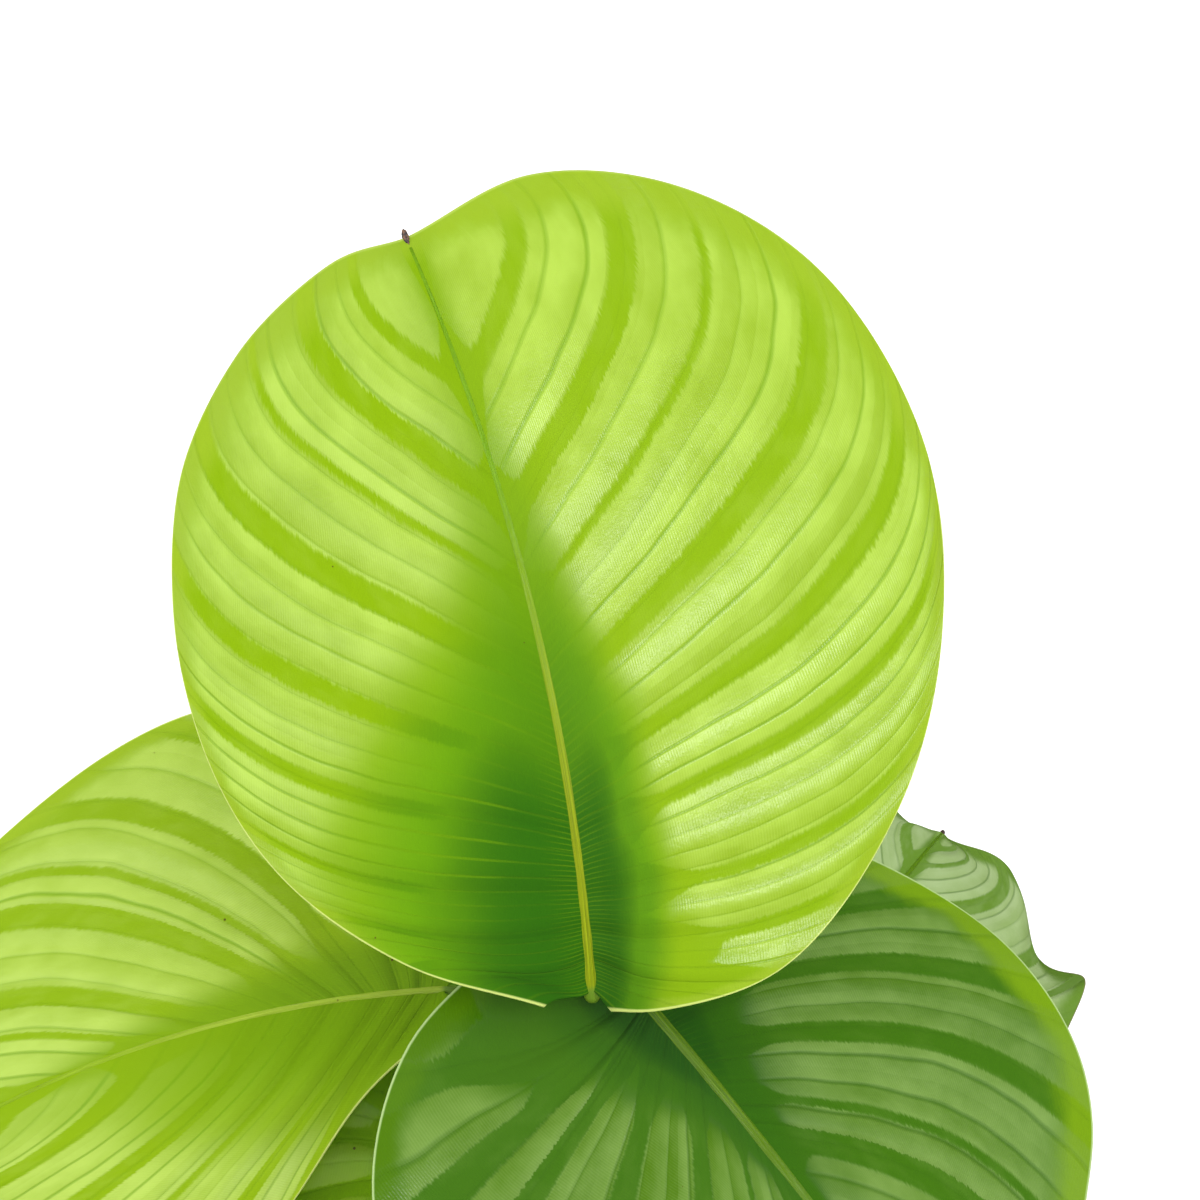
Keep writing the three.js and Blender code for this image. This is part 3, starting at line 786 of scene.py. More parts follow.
def piece(name: str, mesh: bmesh.types.BMesh, materials: Sequence[bpy.types.Material],
          stands_for: Sequence[str] = ()) -> bpy.types.Object:
    """Makes a shown piece of a finished bmesh, riding on the plant.

    Args:
        name: The piece's name.
        mesh: Its shape, which is used up.
        materials: Its materials in order.
        stands_for: Nodes of the frame that it replaces.

    Returns:
        The new object.
    """
    data = bpy.data.meshes.new(name)
    mesh.to_mesh(data)
    mesh.free()
    for material in materials:
        data.materials.append(material)
    made = bpy.data.objects.new(name, data)
    bpy.context.scene.collection.objects.link(made)
    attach(made, BODY)
    if stands_for:
        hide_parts(*stands_for)
    LOG.info("%s: %d faces", name, len(data.polygons))
    return made


def smooth(mesh: bmesh.types.BMesh) -> None:
    """Shades every face of a mesh smoothly."""
    for face in mesh.faces:
        face.smooth = True


def bernstein(values: Sequence[float], t: Array) -> Array:
    """A curve of second degree through its first and last value."""
    return values[0] * (1 - t) ** 2 + 2 * values[1] * t * (1 - t) + values[2] * t * t


def unit(vectors: Array) -> Array:
    """The same vectors at length one."""
    return vectors / np.linalg.norm(vectors, axis=-1, keepdims=True)


MAIN_LEFT: Outline = ((0.065, 0), (0.235, 0.085), (0.37, 0.22), (0.435, 0.39), (0.44, 0.6), (0.38, 0.81),
                      (0.26, 0.95), (0.11, 1.02), (0, 1.02))
MAIN_RIGHT: Outline = ((0.02, -0.015), (0.24, 0.035), (0.41, 0.195), (0.51, 0.385), (0.55, 0.59), (0.5, 0.8),
                       (0.365, 0.955), (0.185, 1.04), (0, 1.02))
FRONT_LEFT: Outline = ((0.07, -0.13), (0.28, -0.08), (0.425, 0.085), (0.505, 0.26), (0.5, 0.43),
                       (0.435, 0.565), (0.29, 0.67), (0.13, 0.79), (0, 0.86))
FRONT_RIGHT: Outline = ((0.1, -0.15), (0.31, -0.11), (0.465, 0.02), (0.52, 0.2), (0.505, 0.37), (0.43, 0.53),
                        (0.32, 0.68), (0.16, 0.8), (0, 0.86))
SIDE_LEFT: Outline = ((0.035, -0.035), (0.143, 0.113), (0.275, 0.25), (0.37, 0.4), (0.42, 0.56), (0.41, 0.72),
                      (0.33, 0.86), (0.18, 0.98), (0, 1.03))
SIDE_RIGHT: Outline = ((0.05, -0.1), (0.27, -0.05), (0.43, 0.1), (0.505, 0.29), (0.5, 0.48), (0.435, 0.65),
                       (0.33, 0.8), (0.18, 0.95), (0, 1.03))
BACK_RIGHT: Outline = ((0.04, -0.09), (0.25, -0.05), (0.4, 0.1), (0.465, 0.29), (0.45, 0.48), (0.415, 0.67),
                       (0.305, 0.82), (0.16, 0.97), (0, 1.02))
PLAIN_HALF: Outline = ((0.04, -0.09), (0.25, -0.05), (0.4, 0.1), (0.47, 0.29), (0.46, 0.48), (0.4, 0.66),
                       (0.3, 0.82), (0.15, 0.96), (0, 1.02))
LEAVE_LEFT = (130.0, 45.0, 34.0)
LEAVE_RIGHT = (118.0, 52.0, 38.0)
LEAVE_USUAL = (118.0, 38.0, 30.0)
ARRIVE_MAIN = (117.0, -25.0, -30.0)
ARRIVE_USUAL = (100.0, -30.0, -30.0)

# Shares of a leaf's length: the rounding of the valley at the midrib, and how fast the shoulder
# beside its base rises, dies out sideways and dies out along it.
VALLEY_WIDTH = 0.03
SHOULDER_RISE = 0.045
SHOULDER_FALL = 0.35
SHOULDER_REACH = 0.26

# Powers that keep a change near one end of the blade: the veins' spread along the midrib and the
# fading of the pleats near the tip, the turn of the inner edge and the lift of the lobe at the base.
CROWD_POWER = 4
PLEAT_POWER = 6
SINUS_POWER = 8
LOBE_POWER = 6


@dataclass(frozen=True)
class LeafForm:
    """The shape of one leaf and its place in the plant.

    Outlines hold the half blade's nine points in shares of the length. The angles are in
    degrees and the junction of stalk and blade, the foot in the soil and the width of the
    midrib's upper face are in millimetres. lobe_lift, shoulder, wave_turn, leave, arrive,
    sinus_turn and advance hold one value for the left half and one for the right. leave and
    arrive are the angles at which the veins leave the midrib and meet the margin, at the basal
    lobe, on the way and at the tip. lean is how far the top of the stalk leans to the right and
    to the back for each step that it climbs; where there is none, it leans the leaf's way.
    """

    node: str
    finish: BladeFinish
    stalk: StalkFinish
    length: float
    junction: tuple[float, float, float]
    foot: tuple[float, float]
    azimuth: float
    rise: float
    roll: float = 0.0
    sweep: float = 0.0
    arch: float = 24.0
    fold: float = 0.2
    fold_fade: float = 1.5
    droop: float = 0.3
    lobe_lift: tuple[float, float] = (0.02, 0.02)
    shoulder: tuple[float, float] = (0.0, 0.0)
    wave: float = 0.012
    waves: float = 2.5
    wave_turn: tuple[float, float] = (0.0, 0.37)
    left: Outline = PLAIN_HALF
    right: Outline = PLAIN_HALF
    leave: tuple[Sequence[float], Sequence[float]] = (LEAVE_USUAL, LEAVE_USUAL)
    arrive: tuple[Sequence[float], Sequence[float]] = (ARRIVE_USUAL, ARRIVE_USUAL)
    sinus_turn: tuple[float, float] = (0.0, 0.0)
    advance: tuple[float, float] = (1.8, 1.8)
    crowd: float = 0.26
    lean: tuple[float, float] | None = None
    rib_width: float = 3.6
    reach: float = 0.36
    pleats: int = 8
    pleat_height: float = 0.0032
    usual_lean: float = 0.35

    @property
    def tip(self) -> float:
        """Where the midrib ends, in lengths."""
        return self.left[-1][1]

    def axes(self) -> tuple[Array, Array, Array]:
        """The blade's own directions.

        Returns:
            Unit vectors to its right, along it and out of its upper face.
        """
        heading, rise, roll = (math.radians(v) for v in (self.azimuth, self.rise, self.roll))
        flat = np.array([math.sin(heading), math.cos(heading), 0.0])
        up = np.array([0.0, 0.0, 1.0])
        ahead = flat * math.cos(rise) + up * math.sin(rise)
        level = up * math.cos(rise) - flat * math.sin(rise)
        across = np.cross(ahead, level)
        return (across * math.cos(roll) + level * math.sin(roll), ahead,
                level * math.cos(roll) - across * math.sin(roll))

    def margin(self, side: Side, a: Array) -> Array:
        """Points on the outline of one half.

        Args:
            side: The half.
            a: The veins, 0 at the basal lobe and 1 at the tip.

        Returns:
            Flat points in lengths.
        """
        points = np.array(self.left if side is Side.LEFT else self.right, float)
        points = np.vstack([2 * points[0] - points[1], points, 2 * points[-1] - points[-2]])
        steps = len(points) - 3
        place = np.clip(a, 0, 1) * steps
        i = np.minimum(place.astype(int), steps - 1)
        t = (place - i)[:, None]
        p0, p1, p2, p3 = (points[i + k] for k in range(4))
        return 0.5 * (2 * p1 + (p2 - p0) * t + (2 * p0 - 5 * p1 + 4 * p2 - p3) * t**2
                      + (3 * p1 - p0 - 3 * p2 + p3) * t**3)

    def flat(self, side: Side, a: Array, b: Array) -> Array:
        """Points of the flat blade.

        Args:
            side: The half.
            a: The veins.
            b: The share of each vein's way from midrib to margin.

        Returns:
            Flat points in lengths, x to the right and y along the midrib.
        """
        half = 0 if side is Side.LEFT else 1
        start = (self.crowd * a + (1 - self.crowd) * a**CROWD_POWER) * self.tip
        end = self.margin(side, 1 - (1 - a) ** self.advance[half])
        reach = self.reach * np.hypot(end[:, 0], end[:, 1] - start)
        leave = np.radians(bernstein(self.leave[half], a))
        arrive = np.radians(bernstein(self.arrive[half], a) + self.sinus_turn[half] * (1 - a) ** SINUS_POWER)
        w0, w1, w2, w3 = (1 - b) ** 3, 3 * b * (1 - b) ** 2, 3 * b * b * (1 - b), b**3
        x = w1 * reach * np.sin(leave) + w2 * (end[:, 0] - reach * np.sin(arrive)) + w3 * end[:, 0]
        y = (w0 * start + w1 * (start + reach * np.cos(leave))
             + w2 * (end[:, 1] - reach * np.cos(arrive)) + w3 * end[:, 1])
        return np.stack([side.value * x, y], axis=-1)

    def relief(self, side: Side, a: Array, b: Array) -> Array:
        """How far the blade rises from its bent sheet: pleats, waves and raised lobes.

        Args:
            side: The half.
            a: The veins.
            b: The share of each vein's way.

        Returns:
            Heights in lengths.
        """
        pleat = (self.pleat_height * np.cos(2 * np.pi * self.pleats * a) * 4 * b * (1 - b)
                 * (1 - a**PLEAT_POWER))
        half = 0 if side is Side.LEFT else 1
        round_ = 1 - (1 - a) ** self.advance[half]
        turn = self.waves * round_ + self.wave_turn[half]
        calm = np.sqrt(np.maximum(4 * round_ * (1 - round_), 0))
        lift = self.lobe_lift[half] * (1 - round_) ** LOBE_POWER * b * b
        return pleat + self.wave * b**3 * np.sin(2 * np.pi * turn) * calm + lift

    def bent(self, x: Array, y: Array, lift: Array) -> Array:
        """Bends flat points into the leaf's place in the plant.

        Args:
            x: Lengths to the right of the midrib.
            y: Lengths along it.
            lift: Lengths above the sheet.

        Returns:
            Places in metres.
        """
        valley = np.hypot(x, VALLEY_WIDTH) - VALLEY_WIDTH
        swelling = (1 - np.exp(-((x / SHOULDER_RISE) ** 2))) * np.exp(-((x / SHOULDER_FALL) ** 2))
        shoulder = np.where(x < 0, *self.shoulder) * swelling * np.exp(-((y / SHOULDER_REACH) ** 2))
        height = (self.fold * valley * np.exp(-self.fold_fade * np.maximum(y, 0)) + shoulder
                  - self.droop * x * x + lift)
        sideways, forward = x, y
        if self.sweep:
            sweep = math.radians(self.sweep)
            swept = sweep * np.maximum(y, 0)
            sideways = (1 - np.cos(swept)) / sweep + x * np.cos(swept)
            forward = np.sin(swept) / sweep + np.minimum(y, 0) - x * np.sin(swept)
        arch = math.radians(self.arch)
        turned = arch * np.maximum(forward, 0)
        out = np.sin(turned) / arch + np.minimum(forward, 0) + height * np.sin(turned)
        up = (np.cos(turned) - 1) / arch + height * np.cos(turned)
        local = np.stack([sideways, out, up], axis=-1) * self.length
        return np.array(self.junction) * MM + local @ np.array(self.axes())

    def rib(self, share: Array) -> Array:
        """Places on the midrib, from the stalk at 0 to the tip at 1."""
        return self.bent(np.zeros_like(share), share * self.tip, np.zeros_like(share))

    def rib_up(self, share: Array) -> Array:
        """Directions out of the blade's upper face along the midrib."""
        middle = np.zeros_like(share)
        return unit(self.bent(middle, share * self.tip, middle + 0.01) - self.rib(share))


@dataclass
class Leaf:
    """One leaf: its blade, its stalk with the midrib, and a dried tip."""

    form: LeafForm
    soil_level: float
    rows: int = 150
    columns: int = 40
    thickness: float = 0.55 * MM
    rim_share: float = 0.006
    grid_slack: float = 1e-4
    stalk_depth: float = 36 * MM
    stalk_sides: int = 20
    petiole_steps: int = 48
    rib_steps: int = 60
    rib_reach: float = 0.985
    foot_radius: float = 4.2 * MM
    top_radius: float = 2.3 * MM
    pulvinus_radius: float = 2.9 * MM
    pulvinus_length: float = 16 * MM
    tip_radius: float = 0.45 * MM
    collar_height: float = 10 * MM
    bow: float = 0.4
    petiole_taper: float = 0.6
    bend_steps: int = 8
    sink: float = 0.55
    rib_flat: float = 0.5
    rib_proud: float = 0.2
    rib_gap: float = 0.05 * MM
    least_rib_share: float = 1e-3
    tip_length: float = 2.4 * MM
    tip_shape: tuple[float, float, float] = (0.42, 1.0, 0.3)
    tip_start: float = 0.975
    tip_crumple: float = 0.28
    tip_lumps: float = 2.3
    tip_curl: float = 0.35

    def build(self, faces: Sequence[bpy.types.Material], stalk: bpy.types.Material,
              dried: bpy.types.Material) -> None:
        """Builds the leaf's pieces and dresses them.

        Args:
            faces: The blade's upper and lower material.
            stalk: The stalk's material.
            dried: The material of the dried tip.
        """
        self.blade(faces)
        self.stalk(stalk)
        self.dried_tip(dried)

    def blade(self, faces: Sequence[bpy.types.Material]) -> bpy.types.Object:
        """The thin blade, with the fields that its pattern reads.

        Args:
            faces: The upper and the lower material.

        Returns:
            The blade.
        """
        mesh = bmesh.new()
        bmesh.ops.create_grid(mesh, x_segments=2 * self.columns, y_segments=self.rows, size=1.0)
        grid = np.array([v.co[:2] for v in mesh.verts])
        a = (grid[:, 1] + 1) / 2
        # The outermost column is the margin itself, and the next one lies just inside it.
        inner = 1 - 1 / self.columns
        share = np.abs(grid[:, 0])
        b = np.where(share > inner + self.grid_slack, 1.0, share / inner * (1 - self.rim_share))
        places, flat = np.zeros((len(a), 3)), np.zeros((len(a), 2))
        run, whole = np.zeros(len(a)), np.zeros(len(a))
        for side in Side:
            here = grid[:, 0] * side.value >= 0
            flat[here] = self.form.flat(side, a[here], b[here])
            lift = self.form.relief(side, a[here], b[here])
            places[here] = self.form.bent(flat[here][:, 0], flat[here][:, 1], lift)
            run[here] = self.vein_length(side, a[here], b[here])
            whole[here] = self.vein_length(side, a[here], np.ones(here.sum()))
        vein = mesh.verts.layers.float_vector.new("vein")
        blade = mesh.verts.layers.float_vector.new("blade")
        for k, vertex in enumerate(mesh.verts):
            vertex.co = places[k]
            vertex[vein] = Vector((a[k], b[k] * np.sign(grid[k, 0]), run[k]))
            vertex[blade] = Vector((flat[k, 0], flat[k, 1], whole[k] - run[k]))
        bmesh.ops.remove_doubles(mesh, verts=mesh.verts, dist=MERGE_DISTANCE)
        smooth(mesh)
        made = piece(f"{self.form.node}_blade", mesh, faces, [self.form.node])
        shell = made.modifiers.new("thickness", "SOLIDIFY")
        shell.thickness = self.thickness
        shell.offset = 0.0
        shell.material_offset = 1
        return made

    def vein_length(self, side: Side, a: Array, b: Array) -> Array:
        """How far along their veins flat points lie.

        Args:
            side: The half.
            a: The veins.
            b: The share of each vein's way.

        Returns:
            Metres from the midrib.
        """
        steps = 8
        points = [self.form.flat(side, a, b * k / steps) for k in range(steps + 1)]
        pieces = [np.linalg.norm(q - p, axis=-1) for p, q in zip(points, points[1:])]
        return np.sum(pieces, axis=0) * self.form.length

    def stalk_path(self) -> tuple[Array, Array, Array, Array]:
        """The route of petiole and midrib.

        Returns:
            Places in metres, the radius at each, the share of the midrib, 0 on the petiole, and
            the way out of the blade's upper face, which is nought on the petiole.
        """
        form = self.form
        normal = form.axes()[2]
        foot = np.array([form.foot[0] * MM, form.foot[1] * MM, self.soil_level - self.stalk_depth])
        collar = np.array([foot[0], foot[1], self.soil_level + self.collar_height])
        junction = np.array(form.junction) * MM - normal * self.sink * self.top_radius
        heading = math.radians(form.azimuth)
        usual = (form.usual_lean * math.sin(heading), form.usual_lean * math.cos(heading))
        topward = unit(np.array([*(form.lean or usual), 1.0]))
        neck = junction - topward * self.pulvinus_length
        climb = (neck[2] - collar[2]) * self.bow
        handles = (collar, collar + np.array([0, 0, climb]), neck - topward * climb, neck)
        t = np.linspace(0, 1, self.petiole_steps + 1)[:, None]
        weights = ((1 - t) ** 3, 3 * t * (1 - t) ** 2, 3 * t * t * (1 - t), t**3)
        petiole = sum(w * h for w, h in zip(weights, handles))
        taper = t[:, 0] ** self.petiole_taper
        petiole_radius = self.foot_radius + (self.top_radius - self.foot_radius) * taper
        share = np.linspace(0, 1, self.rib_steps + 1)
        rib_base = form.rib_width / 2 * MM
        rib_radius = rib_base + (self.tip_radius - rib_base) * share
        rib_up = form.rib_up(share * self.rib_reach)
        # The flattened rib stands a little proud of the blade's upper face.
        lift = self.thickness / 2 + self.rib_gap + (self.rib_proud - self.rib_flat) * rib_radius
        rib = form.rib(share * self.rib_reach) + rib_up * lift[:, None]
        # The pulvinus is a soft swelling that bends from the petiole into the midrib.
        s = np.linspace(0, 1, self.bend_steps + 1)[1:-1, None]
        handle = self.pulvinus_length / 3
        over = unit(rib[1] - rib[0]) * handle
        bend = ((1 - s) ** 3 * neck + 3 * s * (1 - s) ** 2 * (neck + topward * handle)
                + 3 * s * s * (1 - s) * (rib[0] - over) + s**3 * rib[0])
        swelling = self.pulvinus_radius - self.top_radius
        bend_radius = (self.top_radius + (rib_base - self.top_radius) * s[:, 0]
                       + swelling * np.sin(np.pi * s[:, 0]))
        path = np.vstack([foot, petiole, bend, rib])
        radius = np.concatenate([[self.foot_radius], petiole_radius, bend_radius, rib_radius])
        ribbed = np.concatenate([np.zeros(len(path) - len(share)), np.maximum(share, self.least_rib_share)])
        up = np.vstack([np.zeros((len(path) - len(share), 3)), rib_up])
        return path, radius, ribbed, up

    def stalk(self, material: bpy.types.Material) -> bpy.types.Object:
        """The stalk: a round petiole that runs on as the midrib, a little proud of the blade.

        Args:
            material: The stalk's material.

        Returns:
            The stalk.
        """
        path, radius, ribbed, up = self.stalk_path()
        along = unit(np.gradient(path, axis=0))
        across = [np.array([1.0, 0.0, 0.0])]
        for direction in along:
            level = across[-1] - direction * (across[-1] @ direction)
            across.append(unit(level))
        across = np.array(across[1:])
        beside = np.cross(along, across)
        climb = np.concatenate([[0.0], np.cumsum(np.linalg.norm(np.diff(path, axis=0), axis=-1))])
        mesh = bmesh.new()
        bmesh.ops.create_grid(mesh, x_segments=self.stalk_sides, y_segments=len(path) - 1, size=1.0)
        carried = mesh.verts.layers.float_vector.new("stalk")
        for vertex in mesh.verts:
            turn = (vertex.co.x + 1) / 2
            k = round((vertex.co.y + 1) / 2 * (len(path) - 1))
            angle = 2 * math.pi * turn
            vertex[carried] = Vector((min(turn, 1 - turn) * 2, climb[k] - self.stalk_depth, ribbed[k]))
            outward = math.cos(angle) * across[k] + math.sin(angle) * beside[k]
            outward = outward - up[k] * max(outward @ up[k], 0.0) * (1 - self.rib_flat)
            vertex.co = path[k] + radius[k] * outward
        bmesh.ops.remove_doubles(mesh, verts=mesh.verts, dist=MERGE_DISTANCE)
        bmesh.ops.holes_fill(mesh, edges=mesh.edges, sides=self.stalk_sides)
        bmesh.ops.recalc_face_normals(mesh, faces=mesh.faces)
        smooth(mesh)
        return piece(f"{self.form.node}_stalk", mesh, [material], [self.form.node])

    def dried_tip(self, material: bpy.types.Material) -> bpy.types.Object:
        """The small brown, shrivelled end of the midrib.

        Args:
            material: The dried tip's material.

        Returns:
            The tip.
        """
        share = np.array([self.tip_start, 1.0])
        before, end = (Vector(p) for p in self.form.rib(share))
        ahead = (end - before).normalized()
        mesh = bmesh.new()
        bmesh.ops.create_icosphere(mesh, subdivisions=3, radius=1.0)
        size = Vector(self.tip_shape) * self.tip_length
        turn = ahead.to_track_quat("Y", "Z").to_matrix()
        for vertex in mesh.verts:
            lumps = noise.noise(vertex.co * self.tip_lumps + Vector(self.form.junction))
            crumple = 1 + self.tip_crumple * lumps
            body = Vector(c * s for c, s in zip(vertex.co, size)) * crumple
            body.z += self.tip_curl * max(body.y, 0) ** 2 / self.tip_length
            vertex.co = end + turn @ body
        smooth(mesh)
        return piece(f"{self.form.node}_dried_tip", mesh, [material])


LEAVES = (
    LeafForm("leaf_main", LIME, OLIVE_STALK, 0.218, (-2.3, 19, 398), (2, 26), -6.5, 56, sweep=-18,
             fold=0.28, fold_fade=2, droop=0.15, lobe_lift=(0.03, 0.03), shoulder=(0, 0.04), wave=0.006,
             left=MAIN_LEFT, right=MAIN_RIGHT, leave=(LEAVE_LEFT, LEAVE_RIGHT),
             arrive=(ARRIVE_MAIN, ARRIVE_MAIN), advance=(1, 1), crowd=0.38, lean=(0, -1.4), rib_width=3.8),
    LeafForm("leaf_left", YELLOW_GREEN, PALE_STALK, 0.206, (-46, 36, 373), (-17, 22), -91, -4, roll=20,
             sweep=-27, fold=0.22, droop=0.35, left=SIDE_LEFT, right=SIDE_RIGHT,
             leave=((55, 68, 32), (122, 5, 20)), arrive=((57, 38, -22), (75, -58, -50)),
             sinus_turn=(0, 66), advance=(1.9, 2.3), crowd=0.28, rib_width=2.4),
    LeafForm("leaf_front_right", SILVER, GREEN_STALK, 0.21, (8.8, 28.6, 386.3), (15, 10), 138, -14,
             fold=0.22, droop=0.35, lobe_lift=(0, 0), left=FRONT_LEFT, right=FRONT_RIGHT,
             leave=((130, 50, 32), (98, 16, 21)), arrive=((120, -17, -36), (77, -30, -29)),
             sinus_turn=(0, 106), advance=(1.5, 2.1), crowd=0.2, rib_width=4.8),
    LeafForm("leaf_right_back", GREY_GREEN, GREEN_STALK, 0.165, (64, 60, 320), (21, 28), 34, -6, roll=-14,
             arch=38, droop=0.2, right=BACK_RIGHT, wave=0.055, waves=3, wave_turn=(-0.12, 0.58),
             arrive=(ARRIVE_USUAL, (100, -40, -60))),
    LeafForm("leaf_front_left", OLIVE, PALE_STALK, 0.185, (-34, 8, 342), (-16, 2), 205, -15),
    LeafForm("leaf_back_left", GREEN, GREEN_STALK, 0.185, (-36, 62, 256), (-12, 38), -50, 8),
    LeafForm("leaf_back", GREEN, GREEN_STALK, 0.185, (0, 84, 290), (6, 44), 0, 6),
    LeafForm("leaf_right_low", GREEN, GREEN_STALK, 0.17, (60, 4, 214), (33, 6), 90, -2),
    LeafForm("leaf_front_low", SILVER, GREEN_STALK, 0.18, (4, -46, 272), (2, -12), 172, -12),
    LeafForm("leaf_left_low", GREEN, GREEN_STALK, 0.175, (-60, 24, 240), (-32, 22), -94, -8),
)


@dataclass
class Pot:
    """A plain tapered pot with a rolled rim band and drainage holes."""

    height: float = 170 * MM
    top_radius: float = 95 * MM
    base_radius: float = 66 * MM
    wall: float = 5 * MM
    floor: float = 8 * MM
    rim_height: float = 22 * MM
    rim_step: float = 3 * MM
    edge_round: float = 1.5 * MM
    sides: int = 128
    drain_count: int = 4
    drain_radius: float = 6 * MM
    drain_ring: float = 38 * MM

    def outer(self, z: float) -> float:
        """The body's outer radius at a height."""
        top = self.top_radius - self.rim_step
        return self.base_radius + (top - self.base_radius) * z / self.height

    def inner(self, z: float) -> float:
        """The radius of the inside at a height."""
        return self.outer(z) - self.wall

    def profile(self) -> list[tuple[float, float]]:
        """The wall's section, as radius and height, from the middle of the base and round."""
        rim = self.height - self.rim_height
        return [(0, 0), (self.base_radius, 0), (self.outer(rim), rim), (self.top_radius, rim + self.rim_step),
                (self.top_radius, self.height), (self.inner(self.height), self.height),
                (self.inner(self.floor), self.floor), (0, self.floor)]

    def build(self, material: bpy.types.Material) -> bpy.types.Object:
        """Spins the pot and cuts its drainage holes.

        Args:
            material: The pot's material.

        Returns:
            The pot.
        """
        mesh = lathe(self.profile(), self.sides, self.edge_round)
        made = piece("pot_body", mesh, [material], ["pot"])
        drill = bmesh.new()
        for k in range(self.drain_count):
            turn = Matrix.Rotation(2 * math.pi * (k + 0.5) / self.drain_count, 4, "Z")
            place = turn @ Matrix.Translation((self.drain_ring, 0, self.floor / 2))
            bmesh.ops.create_cone(drill, cap_ends=True, segments=32, radius1=self.drain_radius,
                                  radius2=self.drain_radius, depth=3 * self.floor, matrix=place)
        data = bpy.data.meshes.new("drains")
        drill.to_mesh(data)
        drill.free()
        cutter = bpy.data.objects.new("drains", data)
        bpy.context.scene.collection.objects.link(cutter)
        cut = made.modifiers.new("drains", "BOOLEAN")
        cut.object = cutter
        cut.solver = "EXACT"
        result = bpy.data.meshes.new_from_object(made.evaluated_get(bpy.context.evaluated_depsgraph_get()))
        made.modifiers.clear()
        made.data = result
        bpy.data.objects.remove(cutter)
        return made


SHARP_ANGLE = math.radians(25)


def lathe(profile: Sequence[tuple[float, float]], sides: int, round_edges: float = 0.0) -> bmesh.types.BMesh:
    """Spins a section about +Z into a closed body.

    Args:
        profile: Radius and height of each point, from axis to axis.
        sides: Steps in a full turn.
        round_edges: The radius of its sharp ring edges, or 0 to leave them.

    Returns:
        The body.
    """
    mesh = bmesh.new()
    points = [mesh.verts.new((radius, 0.0, height)) for radius, height in profile]
    edges = [mesh.edges.new(pair) for pair in zip(points, points[1:])]
    bmesh.ops.spin(mesh, geom=points + edges, cent=(0, 0, 0), axis=(0, 0, 1), angle=2 * math.pi,
                   steps=sides, use_merge=True)
    bmesh.ops.remove_doubles(mesh, verts=mesh.verts, dist=MERGE_DISTANCE)
    bmesh.ops.recalc_face_normals(mesh, faces=mesh.faces)
    if round_edges:
        sharp = [e for e in mesh.edges if e.is_manifold and e.calc_face_angle() > SHARP_ANGLE
                 and abs(e.verts[0].co.z - e.verts[1].co.z) < MERGE_DISTANCE]
        bmesh.ops.bevel(mesh, geom=sharp, offset=round_edges, offset_type="OFFSET", segments=4,
                        profile=0.5, affect="EDGES", material=-1)
    smooth(mesh)
    return mesh


